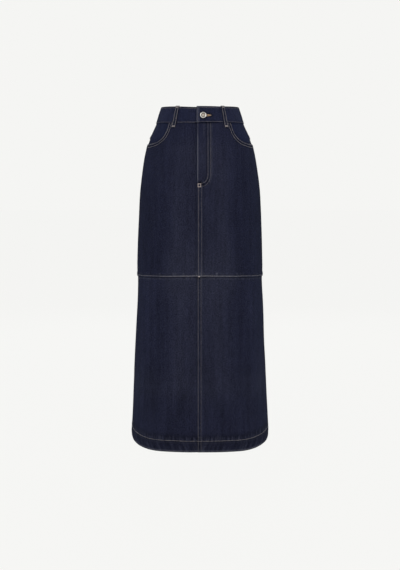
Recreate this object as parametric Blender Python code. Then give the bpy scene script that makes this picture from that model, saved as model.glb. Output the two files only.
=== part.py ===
# A long denim skirt in two tiers, filled out as it hangs on a figure.
# It is a tube of lapped panels, each a thin wall, under a two-layer waistband with belt loops and a button.
# Metres, +Z up. The origin is the centre of the waist at half the band's height. The front faces -Y, and the
# wearer's left is +X.

import math

import bmesh
import bpy
from mathutils import Matrix, Vector

# Driving sizes, in metres unless the name says otherwise
SEAM_GAP = 0.0003            # clearance between two pieces that are sewn together
CLOTH = 0.0012               # one layer of denim
LAP_DROP = CLOTH + SEAM_GAP  # how far a lapped layer sits under the next one

BAND_TOP_AT_SIDE = 0.0204
BAND_TOP_FRONT_DIP = 0.0035
BAND_TOP_STAGGER = 0.0013    # the button end rises this much at centre front, and the other end drops as much
BAND_BOTTOM_AT_SIDE = -0.0232
BAND_BOTTOM_FRONT_DIP = 0.0015
BAND_BOTTOM_SAG = 0.0014     # its lower edge hangs this much lower on the front's right than on its left
SAG_CENTRE = (0.12, -0.22)   # sines of the angles between which the sag starts, across the centre line
SAG_SIDE = (-0.93, -0.70)    # and ends, before the side seam
BAND_PROUD = 0.0013          # the band's outer face, outside the panels' faces
BAND_THICKNESS = 0.0030
BAND_LIFT = BAND_THICKNESS + SEAM_GAP   # how far the button end rides over the end under it
BAND_EDGE_STEP = 0.0006      # how far each face turns in at the band's top and bottom folds
OVERLAP_EDGE = -0.0090       # where the button end of the band stops, across the front
UNDERLAP_EDGE = 0.0330       # where the end under it stops
LIFT_END = 0.0520            # where the button end is back at the band's own level
LIFT_START = UNDERLAP_EDGE + 0.0020

TIER_SEAM_AT_SIDE = -0.4315
TIER_SEAM_FRONT_RISE = 0.0051
TIER_SEAM_BACK_RISE = 0.0040
TUCK = 0.0110                # how far a piece runs up under the one above it
TUCK_EASE = 0.0700           # length over which a tucked piece comes back out to full size

HEM_AT_CENTRE = -0.8815
HEM_SIDE_RISE = 0.0140
HEM_SIDE_SHARPNESS = 6
HEM_TURN_UP = 0.0290
HEM_THICKNESS = 0.0026
HEM_STEP = 0.0020            # length over which the turned-up layer starts

LAP_OVER_EDGE = -0.0064      # folded edge of the panel that lies on top, past the centre line
LAP_UNDER_EDGE = -0.0045     # raw edge of the panel under it, past the centre line on its own side
LAP_MIDDLE = 0.0010
LAP_FLAT = 0.0085            # the under panel is fully lowered this far from the centre line
LAP_EASE = 0.0160            # and is back at full size this much further on

YOKE_DROP_AT_CENTRE = 0.0748
YOKE_DROP_AT_SIDE = 0.0408

POCKET_START = math.radians(51.5)  # where the mouth leaves the band, round from centre front
POCKET_DROP = 0.0553              # how far below the band it meets the side seam
POCKET_SQUARENESS = 3.6           # exponent of the mouth's curve, 2 would be a quarter ellipse
FACING_UNDERLAP = math.radians(7)
FACING_UNDERLAP_DROP = 0.0120
FACING_INSET = 0.0028
FACING_END_SHARE = 0.97           # its hidden edge is cut off square this far along its curve

LOOP_WIDTH = 0.0110
LOOP_THICKNESS = 0.0020
LOOP_FOOT = -0.0370          # where a loop ends, on the panel below the band
LOOP_ARCH = 0.0012
LOOP_HEAD = 0.0016           # how far it stands up past the band's top edge
LOOP_STEP = (0.0070, 0.0005) # below the band, it comes down off the band's edge between these

BUTTON_ACROSS = 0.0079       # centre of the button, to the wearer's left of centre front
BUTTON_HEIGHT = -0.0060
BUTTON_RADIUS = 0.0085
SHANK_RADIUS = 0.0026
EYE_RADIUS = 0.0036
SLOT_HALF_HEIGHT = 0.0009
SLOT_LENGTH = 0.0200         # from the centre of the eye to the end of the slot

SIDE_SEAM = math.radians(90)

# How finely the walls are divided
FAR_COLUMNS = 10             # from beside the centre line to the side seam
MOUTH_ROWS = 9               # down the pocket mouth
BELOW_MOUTH_ROWS = 9
FACING_COLUMNS = 11
FACING_ROWS = 5
BAND_COLUMNS = 58
LOOP_ROWS = 10
ROUND_SIDES = 28

# The skirt's sections, from the top down. Each is an oval of its own half width and of its own depth in front
# of and behind the side seams. A power over 2 squares the oval's corners.
# height, half width, front depth, back depth, power
SECTIONS = [
    (0.0240, 0.1016, 0.0815, 0.0855, 2.00),
    (0.0000, 0.1101, 0.0855, 0.0895, 2.00),
    (-0.0190, 0.1158, 0.0885, 0.0935, 2.02),
    (-0.0268, 0.1185, 0.0902, 0.0960, 2.04),
    (-0.0480, 0.1284, 0.0955, 0.1035, 2.07),
    (-0.0700, 0.1379, 0.1010, 0.1105, 2.10),
    (-0.0920, 0.1448, 0.1055, 0.1165, 2.12),
    (-0.1340, 0.1531, 0.1105, 0.1270, 2.15),
    (-0.1780, 0.1592, 0.1135, 0.1360, 2.15),
    (-0.2200, 0.1630, 0.1160, 0.1388, 2.15),
    (-0.3070, 0.1672, 0.1205, 0.1388, 2.18),
    (-0.3940, 0.1698, 0.1260, 0.1370, 2.20),
    (-0.4380, 0.1699, 0.1290, 0.1368, 2.22),
    (-0.5030, 0.1711, 0.1345, 0.1395, 2.25),
    (-0.5920, 0.1752, 0.1425, 0.1465, 2.28),
    (-0.6800, 0.1797, 0.1512, 0.1545, 2.32),
    (-0.7700, 0.1832, 0.1605, 0.1625, 2.35),
    (-0.8860, 0.1898, 0.1725, 0.1735, 2.40),
]

# The largest soft folds, each a shallow trough that runs down the cloth, alike on both sides of the centre.
# Angles are in degrees round from the centre line of its face.
# face, top angle, top height, bottom angle, bottom height, half width in degrees, depth
FOLDS = [
    ("front", 38, -0.220, 45, -0.425, 8, 0.0016),
    ("front", 2, -0.640, 27, -0.855, 6, 0.0024),
    ("front", 38, -0.480, 47, -0.820, 9, 0.0028),
    ("back", 37, -0.240, 43, -0.425, 8, 0.0018),
    ("back", 3, -0.600, 24, -0.850, 7, 0.0026),
    ("back", 40, -0.480, 48, -0.830, 9, 0.0030),
]
FOLD_FADE = 0.0700           # each trough starts and ends over this length

# The strips that hold a belt: name, degrees round from centre front at the foot, and how far the head leans on
# round from there, in metres
BELT_LOOPS = [
    ("belt_loop_front_left", 41.8, -0.0020),
    ("belt_loop_front_right", -41.7, 0.0026),
    ("belt_loop_back_left", 132.0, 0.0010),
    ("belt_loop_back_right", -132.0, -0.0014),
    ("belt_loop_back_centre", 180.0, 0.0006),
]

# Cloth and metal: name, colour, roughness, metallic
FINISHES = {
    "panel": ((0.016, 0.020, 0.042, 1.0), 0.88, 0.0),
    "band": ((0.018, 0.023, 0.048, 1.0), 0.86, 0.0),
    "facing": ((0.015, 0.019, 0.044, 1.0), 0.88, 0.0),
    "loop": ((0.017, 0.022, 0.045, 1.0), 0.86, 0.0),
    "nickel": ((0.62, 0.60, 0.56, 1.0), 0.30, 1.0),
}


def ramp(value, start, end):
    """Rises smoothly from 0 at start to 1 at end, whichever of the two is larger."""
    part = min(max((value - start) / (end - start), 0.0), 1.0)
    return part * part * (3 - 2 * part)


def section_at(height):
    """Half width, front depth, back depth and power at a height, on a smooth curve through the table."""
    last = len(SECTIONS) - 1
    row = 0
    while row < last - 1 and height < SECTIONS[row + 1][0]:
        row += 1
    upper, lower = SECTIONS[row], SECTIONS[row + 1]
    above, below = SECTIONS[max(row - 1, 0)], SECTIONS[min(row + 2, last)]
    span = lower[0] - upper[0]
    part = min(max((height - upper[0]) / span, 0.0), 1.0)
    rise = part * part * (3 - 2 * part)
    leave = part * (1 - part) * (1 - part)
    arrive = part * part * (part - 1)
    values = []
    for column in range(1, 5):
        slope_up = (lower[column] - above[column]) / (lower[0] - above[0]) * span
        slope_down = (below[column] - upper[column]) / (below[0] - upper[0]) * span
        straight = upper[column] + (lower[column] - upper[column]) * rise
        values.append(straight + slope_up * leave + slope_down * arrive)
    return values


def frontness(angle):
    return max(math.cos(angle), 0.0) ** 2


def backness(angle):
    return max(-math.cos(angle), 0.0) ** 2


def band_top(angle):
    return BAND_TOP_AT_SIDE - BAND_TOP_FRONT_DIP * frontness(angle)


def band_bottom(angle):
    edge = BAND_BOTTOM_AT_SIDE - BAND_BOTTOM_FRONT_DIP * frontness(angle)
    if math.cos(angle) > 0:
        across = math.sin(angle)
        edge -= BAND_BOTTOM_SAG * ramp(across, *SAG_CENTRE) * ramp(across, *SAG_SIDE)
    return edge


def tier_seam(angle):
    return TIER_SEAM_AT_SIDE + TIER_SEAM_FRONT_RISE * frontness(angle) + TIER_SEAM_BACK_RISE * backness(angle)


def hem_edge(angle):
    return HEM_AT_CENTRE + HEM_SIDE_RISE * abs(math.sin(angle)) ** HEM_SIDE_SHARPNESS


def yoke_seam(angle):
    drop = YOKE_DROP_AT_SIDE + (YOKE_DROP_AT_CENTRE - YOKE_DROP_AT_SIDE) * backness(angle)
    return band_bottom(angle) - drop


def pocket_mouth(angle):
    """Height of the scooped mouth's edge at an angle from centre front, between its two ends."""
    part = min(max((SIDE_SEAM - abs(angle)) / (SIDE_SEAM - POCKET_START), 0.0), 1.0)
    return band_bottom(angle) - POCKET_DROP * (1 - part ** POCKET_SQUARENESS) ** (1 / POCKET_SQUARENESS)


def fold_depth(angle, height):
    """How deep the soft troughs press the cloth in."""
    face = "front" if math.cos(angle) > 0 else "back"
    from_centre = abs(math.degrees(math.atan2(math.sin(angle), abs(math.cos(angle)))))
    total = 0.0
    for side, top_angle, top, bottom_angle, bottom, half_width, depth in FOLDS:
        if side != face:
            continue
        along = (height - top) / (bottom - top)
        line = top_angle + (bottom_angle - top_angle) * along
        across = (from_centre - line) / half_width
        fade = ramp(height, top + FOLD_FADE / 2, top - FOLD_FADE / 2)
        fade *= ramp(height, bottom - FOLD_FADE / 2, bottom + FOLD_FADE / 2)
        total += depth * fade * math.exp(-across * across)
    return total


def bare_point(angle, height):
    half_width, front_depth, back_depth, power = section_at(height)
    depth = front_depth if math.cos(angle) > 0 else back_depth
    across = abs(math.sin(angle)) / half_width
    along = abs(math.cos(angle)) / depth
    radius = (across ** power + along ** power) ** (-1 / power) - fold_depth(angle, height)
    return Vector((radius * math.sin(angle), -radius * math.cos(angle), height))


def outward_at(angle, height):
    """The level direction that points squarely out of the skirt."""
    step = 0.01
    along = bare_point(angle + step, height) - bare_point(angle - step, height)
    return Vector((along.y, -along.x, 0)).normalized()


def skirt_point(angle, height, outward):
    return bare_point(angle, height) + outward_at(angle, height) * outward


def finish(name, kind):
    colour, roughness, metallic = FINISHES[kind]
    material = bpy.data.materials.new(name + "_" + kind)
    material.use_nodes = True
    shader = material.node_tree.nodes["Principled BSDF"]
    shader.inputs["Base Color"].default_value = colour
    shader.inputs["Roughness"].default_value = roughness
    shader.inputs["Metallic"].default_value = metallic
    material.diffuse_color = colour
    return material


def add_object(name, shape, kind, sharp_angle=40):
    bmesh.ops.recalc_face_normals(shape, faces=shape.faces)
    mesh = bpy.data.meshes.new(name)
    shape.to_mesh(mesh)
    shape.free()
    mesh.shade_smooth()
    mesh.set_sharp_from_angle(angle=math.radians(sharp_angle))
    mesh.materials.append(finish(name, kind))
    piece = bpy.data.objects.new(name, mesh)
    bpy.context.scene.collection.objects.link(piece)
    return piece


def add_wall(name, grid, kind):
    """A closed thin wall. Each cell of the grid is (angle, height, outer offset, thickness)."""
    shape = bmesh.new()
    outer = []
    inner = []
    for row in grid:
        outer.append([shape.verts.new(skirt_point(a, h, out)) for a, h, out, thick in row])
        inner.append([shape.verts.new(skirt_point(a, h, out - thick)) for a, h, out, thick in row])
    rows, columns = len(grid), len(grid[0])
    for layer in (outer, inner):
        for j in range(rows - 1):
            for i in range(columns - 1):
                shape.faces.new((layer[j][i], layer[j][i + 1], layer[j + 1][i + 1], layer[j + 1][i]))
    for j in range(rows - 1):
        for i in (0, columns - 1):
            shape.faces.new((outer[j][i], outer[j + 1][i], inner[j + 1][i], inner[j][i]))
    for i in range(columns - 1):
        for j in (0, rows - 1):
            shape.faces.new((outer[j][i], outer[j][i + 1], inner[j][i + 1], inner[j][i]))
    return add_object(name, shape, kind)


class Quarter:
    """A quarter of the skirt, from a centre line round to a side seam.

    Distances near the centre line are lengths across it, and further round they are shares of the angle.
    """

    def __init__(self, face, side):
        self.face = face
        self.side = 1 if side == "left" else -1
        self.over = side == "left"

    def world_angle(self, from_centre):
        if self.face == "front":
            return self.side * from_centre
        return self.side * (math.pi - from_centre)

    def depth(self, height):
        return section_at(height)[1 if self.face == "front" else 2]

    def angle_of(self, distance, height):
        return math.atan2(distance, self.depth(height))

    def near_stations(self):
        edge = LAP_OVER_EDGE if self.over else LAP_UNDER_EDGE
        return [edge, LAP_MIDDLE, LAP_FLAT, LAP_FLAT + LAP_EASE / 2, LAP_FLAT + LAP_EASE]

    def angles(self, height, last_angle):
        near = [self.angle_of(distance, height) for distance in self.near_stations()]
        reach = last_angle - near[-1]
        return near + [near[-1] + reach * (i + 1) / FAR_COLUMNS for i in range(FAR_COLUMNS)]

    def in_lap(self, from_centre, height):
        """1 where the two panels lie on each other, easing to 0 beside that."""
        distance = math.tan(from_centre) * self.depth(height)
        return ramp(distance, LAP_FLAT + LAP_EASE, LAP_FLAT)


def side_edge(height):
    """Each side seam leaves half a gap on either side of it."""
    return SIDE_SEAM - SEAM_GAP / 2 / section_at(height)[0]


def panel_grid(quarter, top, bottom, shares, tucked=False, hemmed=False):
    """Rows of a panel between two seams. Shares say how far down each row lies."""
    grid = []
    for share in shares:
        row = []
        level = top(0) * (1 - share) + bottom(0) * share
        for from_centre in quarter.angles(level, side_edge(level)):
            angle = quarter.world_angle(from_centre)
            edge = top(angle)
            upper_end = edge + TUCK if tucked else edge - SEAM_GAP
            height = upper_end * (1 - share) + bottom(angle) * share
            lapped = quarter.in_lap(from_centre, height)
            out = 0.0 if quarter.over else -LAP_DROP * lapped
            if tucked:
                out -= LAP_DROP * ramp(height, edge - TUCK_EASE, edge - SEAM_GAP)
                # where two lapped seams cross, the lower pair of layers goes in by one more
                out -= LAP_DROP * lapped * ramp(height, edge - TUCK, edge)
            thick = CLOTH
            if hemmed:
                # the turned-up hem is cut away where it would lie on the panel under it
                turned = bottom(angle) + HEM_TURN_UP
                spare = 1 - lapped if quarter.over else 1
                thick += (HEM_THICKNESS - CLOTH) * spare * ramp(height, turned + HEM_STEP, turned)
            row.append((angle, height, out, thick))
        grid.append(row)
    return grid


def even(count, start=0.0, end=1.0):
    return [start + (end - start) * i / (count - 1) for i in range(count)]


def panel_top(angle):
    return band_bottom(angle) - SEAM_GAP


def share_down(angle, height):
    """How far down the upper tier a height lies, from 0 at the band to 1 at the seam between the tiers."""
    share = (panel_top(angle) - height) / (panel_top(angle) - tier_seam(angle))
    return max(share, 0.0)


def add_front_upper(side):
    """A front panel whose upper outer corner is cut away by the pocket mouth."""
    quarter = Quarter("front", side)
    mouth_share = share_down(SIDE_SEAM, pocket_mouth(SIDE_SEAM))
    grid = []
    for j in range(MOUTH_ROWS + BELOW_MOUTH_ROWS + 1):
        if j < MOUTH_ROWS:
            turn = math.pi / 2 * j / MOUTH_ROWS
            part = math.cos(turn) ** (2 / POCKET_SQUARENESS)
            last = SIDE_SEAM - (SIDE_SEAM - POCKET_START) * part
            centre_share = mouth_share * j / MOUTH_ROWS
            edge_share = share_down(last, pocket_mouth(last))
        else:
            last = side_edge(pocket_mouth(SIDE_SEAM))
            centre_share = mouth_share + (1 - mouth_share) * (j - MOUTH_ROWS) / BELOW_MOUTH_ROWS
            edge_share = centre_share
        row = []
        level = panel_top(0) * (1 - centre_share) + tier_seam(0) * centre_share
        for from_centre in quarter.angles(level, last):
            share = centre_share + (edge_share - centre_share) * max(from_centre / last, 0.0) ** 2
            angle = quarter.world_angle(from_centre)
            height = panel_top(angle) * (1 - share) + tier_seam(angle) * share
            out = 0.0 if quarter.over else -LAP_DROP * quarter.in_lap(from_centre, height)
            row.append((angle, height, out, CLOTH))
        grid.append(row)
    return add_wall("front_upper_" + side, grid, "panel")


def add_pocket_facing(side):
    """The hip piece that shows in the mouth. It runs on under the front panel."""
    quarter = Quarter("front", side)
    first = POCKET_START - FACING_UNDERLAP
    last = side_edge(BAND_BOTTOM_AT_SIDE)
    reach = (SIDE_SEAM - first) / FACING_END_SHARE
    hidden_drop = POCKET_DROP + FACING_UNDERLAP_DROP
    grid = []
    for j in range(FACING_ROWS + 1):
        row = []
        for i in range(FACING_COLUMNS + 1):
            from_centre = last - (last - first) * i / FACING_COLUMNS
            part = (SIDE_SEAM - from_centre) / reach
            drop = hidden_drop * (1 - part ** POCKET_SQUARENESS) ** (1 / POCKET_SQUARENESS)
            angle = quarter.world_angle(from_centre)
            height = panel_top(angle) - drop * j / FACING_ROWS
            row.append((angle, height, -FACING_INSET, CLOTH))
        grid.append(row)
    return add_wall("pocket_facing_" + side, grid, "facing")


def add_panels():
    # rows lie closest where a layer changes level: under the piece above, and where the hem is turned up
    yoke_rows = even(5)
    upper_rows = [0.0, 0.030, 0.070, 0.120] + even(8, 0.2, 1.0)
    lower_rows = [0.0, 0.024, 0.050, 0.100] + even(9, 0.17, 0.935) + [0.9425, 1.0]
    for side in ("left", "right"):
        add_front_upper(side)
        add_pocket_facing(side)
        front, back = Quarter("front", side), Quarter("back", side)
        add_wall("back_yoke_" + side, panel_grid(back, band_bottom, yoke_seam, yoke_rows), "panel")
        upper = panel_grid(back, yoke_seam, tier_seam, upper_rows, tucked=True)
        add_wall("back_upper_" + side, upper, "panel")
        for quarter in (front, back):
            lower = panel_grid(quarter, tier_seam, hem_edge, lower_rows, tucked=True, hemmed=True)
            add_wall("%s_lower_%s" % (quarter.face, side), lower, "panel")


def band_offset(turn):
    """The button end rides over the other end, then eases down to the band's own level."""
    if turn > SIDE_SEAM:
        return BAND_PROUD
    across = bare_point(turn, 0).x
    return BAND_PROUD + BAND_LIFT * ramp(across, LIFT_END, LIFT_START)


def stagger(turn):
    """The two ends of the band don't quite line up where the button closes them."""
    from_end = min(turn, 2 * math.pi - turn)
    return BAND_TOP_STAGGER * ramp(from_end, SIDE_SEAM / 2, 0.0) * (1 if turn < math.pi else -1)


def add_waistband():
    """One straight strip that goes once round, from the button end to the end that lies under it."""
    front_depth = section_at(0)[1]
    over_end = math.atan2(OVERLAP_EDGE, front_depth)
    under_end = 2 * math.pi + math.atan2(UNDERLAP_EDGE, front_depth)
    # share of the height from the bottom up, and how far each face turns in there
    profile = [
        (0.00, BAND_EDGE_STEP),
        (0.04, 0.0),
        (0.35, 0.0),
        (0.65, 0.0),
        (0.96, 0.0),
        (1.00, BAND_EDGE_STEP),
    ]
    grid = []
    for share, turned_in in profile:
        row = []
        for turn in even(BAND_COLUMNS + 1, over_end, under_end):
            height = band_bottom(turn) * (1 - share) + (band_top(turn) + stagger(turn)) * share
            row.append((turn, height, band_offset(turn) - turned_in, BAND_THICKNESS - 2 * turned_in))
        grid.append(row)
    return add_wall("waistband", grid, "band")


def add_belt_loops():
    """Each strip is tacked at the band's top edge and on the panel just below the band."""
    for name, degrees, lean in BELT_LOOPS:
        centre = math.radians(degrees)
        radius = bare_point(centre, 0).length
        half = LOOP_WIDTH / 2 / radius
        top = band_top(centre) + LOOP_HEAD
        low_step, high_step = (band_bottom(centre) - drop for drop in LOOP_STEP)
        grid = []
        for share in even(LOOP_ROWS + 1):
            height = top * (1 - share) + LOOP_FOOT * share
            clearance = SEAM_GAP + BAND_PROUD * ramp(height, low_step, high_step)
            outer = clearance + LOOP_ARCH * math.sin(math.pi * share) + LOOP_THICKNESS
            middle = centre + lean / radius * (1 - share)
            grid.append([(middle + half * i, height, outer, LOOP_THICKNESS) for i in (-1, 0, 1)])
        add_wall(name, grid, "loop")


def button_frame():
    """Where the button sits: its axis is square to the band, which leans in towards its top."""
    turn = math.atan2(BUTTON_ACROSS, section_at(0)[1])
    face = BAND_PROUD + BAND_LIFT
    out = outward_at(turn, BUTTON_HEIGHT)
    right = Vector((-out.y, out.x, 0))
    rise = skirt_point(turn, BUTTON_HEIGHT + BUTTON_RADIUS, face) - skirt_point(turn, BUTTON_HEIGHT, face)
    up = (rise - right * rise.dot(right)).normalized()
    frame = Matrix((right, up, right.cross(up))).transposed().to_4x4()
    frame.translation = skirt_point(turn, BUTTON_HEIGHT, face)
    return frame


def add_button():
    """A plain dished cap with a rolled rim, on a shank that goes through the buttonhole."""
    # radius, height above the cap's underside
    profile = [
        (0.0, 0.0016),
        (0.0030, 0.0017),
        (0.0052, 0.0022),
        (0.0064, 0.0032),
        (0.0074, 0.0034),
        (0.0082, 0.0029),
        (BUTTON_RADIUS, 0.0020),
        (0.0081, 0.0009),
        (0.0070, 0.0002),
        (SHANK_RADIUS, 0.0),
        (SHANK_RADIUS, -SEAM_GAP - BAND_THICKNESS),
        (0.0, -SEAM_GAP - BAND_THICKNESS),
    ]
    shape = bmesh.new()
    verts = [shape.verts.new((radius, 0, height + SEAM_GAP)) for radius, height in profile]
    edges = [shape.edges.new(pair) for pair in zip(verts, verts[1:])]
    bmesh.ops.spin(shape, geom=verts + edges, cent=(0, 0, 0), axis=(0, 0, 1), angle=2 * math.pi,
                   steps=ROUND_SIDES, use_merge=True)
    bmesh.ops.remove_doubles(shape, verts=shape.verts, dist=1e-6)
    button = add_object("button", shape, "nickel", 50)
    button.matrix_world = button_frame()
    return button


def keyhole_outline():
    """Distances along the buttonhole from the centre of its eye, with the half height there."""
    eye_start = math.radians(168)
    eye_end = math.asin(SLOT_HALF_HEIGHT / EYE_RADIUS)
    turns = even(11, eye_start, eye_end)
    outline = [(EYE_RADIUS * math.cos(turn), EYE_RADIUS * math.sin(turn)) for turn in turns]
    slot = even(5, 2 * EYE_RADIUS, SLOT_LENGTH - SLOT_HALF_HEIGHT)
    outline += [(along, SLOT_HALF_HEIGHT) for along in slot]
    return outline + [(SLOT_LENGTH, SLOT_HALF_HEIGHT / 3)]


def add_buttonhole_cutter():
    """It follows the band round, down to half way through the gap above the end that lies under."""
    depth = section_at(0)[1]
    outer = BAND_PROUD + BAND_LIFT + BAND_THICKNESS
    inner = BAND_PROUD + SEAM_GAP / 2
    grid = []
    for way in (1, -1):
        row = []
        for along, half_height in keyhole_outline():
            angle = math.atan2(BUTTON_ACROSS + along, depth)
            row.append((angle, BUTTON_HEIGHT + way * half_height, outer, outer - inner))
        grid.append(row)
    cutter = add_wall("buttonhole_cutter", grid, "band")
    cutter.hide_render = True
    cutter.display_type = "WIRE"
    return cutter


def cut_buttonhole(waistband):
    cut = waistband.modifiers.new("buttonhole", "BOOLEAN")
    cut.operation = "DIFFERENCE"
    cut.solver = "EXACT"
    cut.object = add_buttonhole_cutter()


def clear_scene():
    for item in list(bpy.data.objects):
        bpy.data.objects.remove(item, do_unlink=True)


def main():
    clear_scene()
    add_panels()
    cut_buttonhole(add_waistband())
    add_belt_loops()
    add_button()


main()
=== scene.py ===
# A long denim skirt in two tiers, filled out as it hangs: lapped shells, topstitching, belt loops, a button.
# Metres, +Z up. The front faces -Y and the wearer's left is +X.
import math

import bmesh
import bpy
import numpy as np
from mathutils import Matrix, Vector
from mathutils.bvhtree import BVHTree
from mathutils.kdtree import KDTree


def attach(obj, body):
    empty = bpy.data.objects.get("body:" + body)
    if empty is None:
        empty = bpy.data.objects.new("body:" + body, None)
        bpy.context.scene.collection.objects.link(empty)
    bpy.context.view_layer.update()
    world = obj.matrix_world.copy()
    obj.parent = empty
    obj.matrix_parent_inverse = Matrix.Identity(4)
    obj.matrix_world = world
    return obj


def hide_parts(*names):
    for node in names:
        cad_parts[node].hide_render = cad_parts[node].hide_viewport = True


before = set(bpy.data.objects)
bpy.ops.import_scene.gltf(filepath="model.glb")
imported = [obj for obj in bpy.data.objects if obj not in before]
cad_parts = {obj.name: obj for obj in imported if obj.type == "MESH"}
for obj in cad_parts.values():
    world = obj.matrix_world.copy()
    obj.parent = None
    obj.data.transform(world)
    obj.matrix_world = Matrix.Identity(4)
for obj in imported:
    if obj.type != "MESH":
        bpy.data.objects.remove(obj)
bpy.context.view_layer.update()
print("frame loaded with", len(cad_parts), "solids")


def addObject(name, data):
    made = bpy.data.objects.new(name, data)
    bpy.context.scene.collection.objects.link(made)
    return made


camera = {
    "place": (0.0, -2.9, -0.200),
    "pitchDown": 5.093,      # degrees
    "lens": 67.40,           # millimetres, on the sensor below
    "sensor": 36.0,
}


def addCamera():
    lens = bpy.data.cameras.new("camera")
    lens.lens = camera["lens"]
    lens.sensor_width = camera["sensor"]
    lens.clip_end = 100
    made = addObject("camera", lens)
    made.location = camera["place"]
    made.rotation_euler = (math.radians(90 - camera["pitchDown"]), 0, 0)
    bpy.context.scene.camera = made


addCamera()

# the cut and the hang of the whole skirt, as its solids have them
skirt = {
    # height, half width, front depth, back depth, power
    "sections": [
        (0.0240, 0.1016, 0.0815, 0.0855, 2.00),
        (0.0000, 0.1101, 0.0855, 0.0895, 2.00),
        (-0.0190, 0.1158, 0.0885, 0.0935, 2.02),
        (-0.0268, 0.1185, 0.0902, 0.0960, 2.04),
        (-0.0480, 0.1284, 0.0955, 0.1035, 2.07),
        (-0.0700, 0.1379, 0.1010, 0.1105, 2.10),
        (-0.0920, 0.1448, 0.1055, 0.1165, 2.12),
        (-0.1340, 0.1531, 0.1105, 0.1270, 2.15),
        (-0.1780, 0.1592, 0.1135, 0.1360, 2.15),
        (-0.2200, 0.1630, 0.1160, 0.1388, 2.15),
        (-0.3070, 0.1672, 0.1205, 0.1388, 2.18),
        (-0.3940, 0.1698, 0.1260, 0.1370, 2.20),
        (-0.4380, 0.1699, 0.1290, 0.1368, 2.22),
        (-0.5030, 0.1711, 0.1345, 0.1395, 2.25),
        (-0.5920, 0.1752, 0.1425, 0.1465, 2.28),
        (-0.6800, 0.1797, 0.1512, 0.1545, 2.32),
        (-0.7700, 0.1832, 0.1605, 0.1625, 2.35),
        (-0.8860, 0.1898, 0.1725, 0.1735, 2.40),
    ],
    "bandTop": 0.0204, "bandTopDip": 0.0035, "bandTopStagger": 0.0013,
    "bandBottom": -0.0232, "bandBottomDip": 0.0015,
    # the band's lower edge sags on the front's right; where that starts and ends, as sines of the angle
    "bandSag": 0.0014, "sagCentre": (0.12, -0.22), "sagSide": (-0.93, -0.70),
    "tierSeam": -0.4315, "tierFrontRise": 0.0051, "tierBackRise": 0.0040,
    "hem": -0.8815, "hemSideRise": 0.0140, "hemSharpness": 6, "hemTurnUp": 0.0290, "hemSag": 0.0026,
    "yokeSide": 0.0408, "yokeCentre": 0.0748,
    "mouthStart": 51.5, "mouthDrop": 0.0553, "mouthSquareness": 3.6,
    "cloth": 0.0012, "lapDrop": 0.0015, "tuck": 0.0110, "tuckEase": 0.0700,
    "overEdge": -0.0064, "underEdge": -0.0045, "lapFlat": 0.0085, "lapEase": 0.0160,
    "foldFade": 0.0700,
}

# side is 1 for the wearer's left, -1 for the right and 0 for both; depth under 0 is a ridge
# face, side, top angle, top height, bottom angle, bottom height, half width in degrees, depth
creases = [
    ("front", 0, 38, -0.220, 45, -0.425, 8, 0.0016),
    ("front", 0, 2, -0.640, 27, -0.855, 6, 0.0024),
    ("front", 0, 38, -0.480, 47, -0.820, 9, 0.0028),
    ("back", 0, 37, -0.240, 43, -0.425, 8, 0.0018),
    ("back", 0, 3, -0.600, 24, -0.850, 7, 0.0026),
    ("back", 0, 40, -0.480, 48, -0.830, 9, 0.0030),
    # finer ones, which the solids leave out
    ("front", 1, 30, -0.120, 31, -0.400, 7, -0.0012),
    ("front", -1, 31, -0.130, 29, -0.410, 6, -0.0011),
    ("front", 1, 15, -0.200, 19, -0.405, 4, 0.0006),
    ("front", -1, 12, -0.150, 17, -0.380, 4, 0.0007),
    ("front", 1, 58, -0.150, 55, -0.330, 6, 0.0007),
    ("front", -1, 60, -0.170, 57, -0.360, 7, 0.0008),
    ("front", 1, 74, -0.230, 72, -0.420, 5, 0.0006),
    ("front", 1, 21, -0.470, 17, -0.700, 6, -0.0013),
    ("front", -1, 19, -0.460, 22, -0.740, 7, -0.0012),
    ("front", 1, 9, -0.560, 13, -0.700, 3, 0.0007),
    ("front", -1, 8, -0.600, 15, -0.730, 4, 0.0008),
    ("front", 1, 33, -0.700, 38, -0.850, 4, 0.0009),
    ("front", -1, 34, -0.660, 36, -0.840, 5, 0.0008),
    ("front", 1, 62, -0.500, 58, -0.760, 6, -0.0011),
    ("front", -1, 63, -0.540, 60, -0.800, 6, -0.0010),
    ("front", 1, 73, -0.580, 70, -0.850, 5, 0.0009),
    ("front", -1, 75, -0.520, 71, -0.830, 5, 0.0008),
    ("back", 1, 28, -0.150, 30, -0.400, 7, -0.0012),
    ("back", -1, 29, -0.140, 28, -0.390, 6, -0.0010),
    ("back", 1, 14, -0.220, 18, -0.410, 4, 0.0007),
    ("back", -1, 11, -0.240, 16, -0.420, 4, 0.0006),
    ("back", 1, 60, -0.180, 57, -0.350, 7, 0.0008),
    ("back", -1, 58, -0.160, 56, -0.330, 6, 0.0007),
    ("back", 1, 18, -0.470, 21, -0.720, 6, -0.0012),
    ("back", -1, 20, -0.480, 18, -0.700, 7, -0.0013),
    ("back", 1, 62, -0.520, 59, -0.790, 6, -0.0011),
    ("back", -1, 64, -0.500, 60, -0.770, 6, -0.0010),
    ("back", 1, 74, -0.560, 71, -0.850, 5, 0.0009),
    ("back", -1, 72, -0.590, 70, -0.840, 5, 0.0008),
]
centreFade = 6      # degrees from the centre over which a crease of one side alone fades out

# turns in a full round, waves per metre of height, phase, depth: slow unevenness of the hang
ripples = [
    (5, 3.1, 0.4, 0.00035),
    (9, -4.3, 1.9, 0.00028),
    (14, 6.2, 4.1, 0.00018),
    (23, -9.0, 2.7, 0.00012),
]
rippleFade = (-0.06, -0.14)     # they set in between these heights, below the band

sectionTable = np.array(skirt["sections"])
sideSeam = math.pi / 2


def ramp(value, start, end):
    part = np.clip((value - start) / (end - start), 0.0, 1.0)
    return part * part * (3 - 2 * part)


def hump(value, halfWidth):
    return np.exp(-(value / halfWidth) ** 2)


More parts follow.
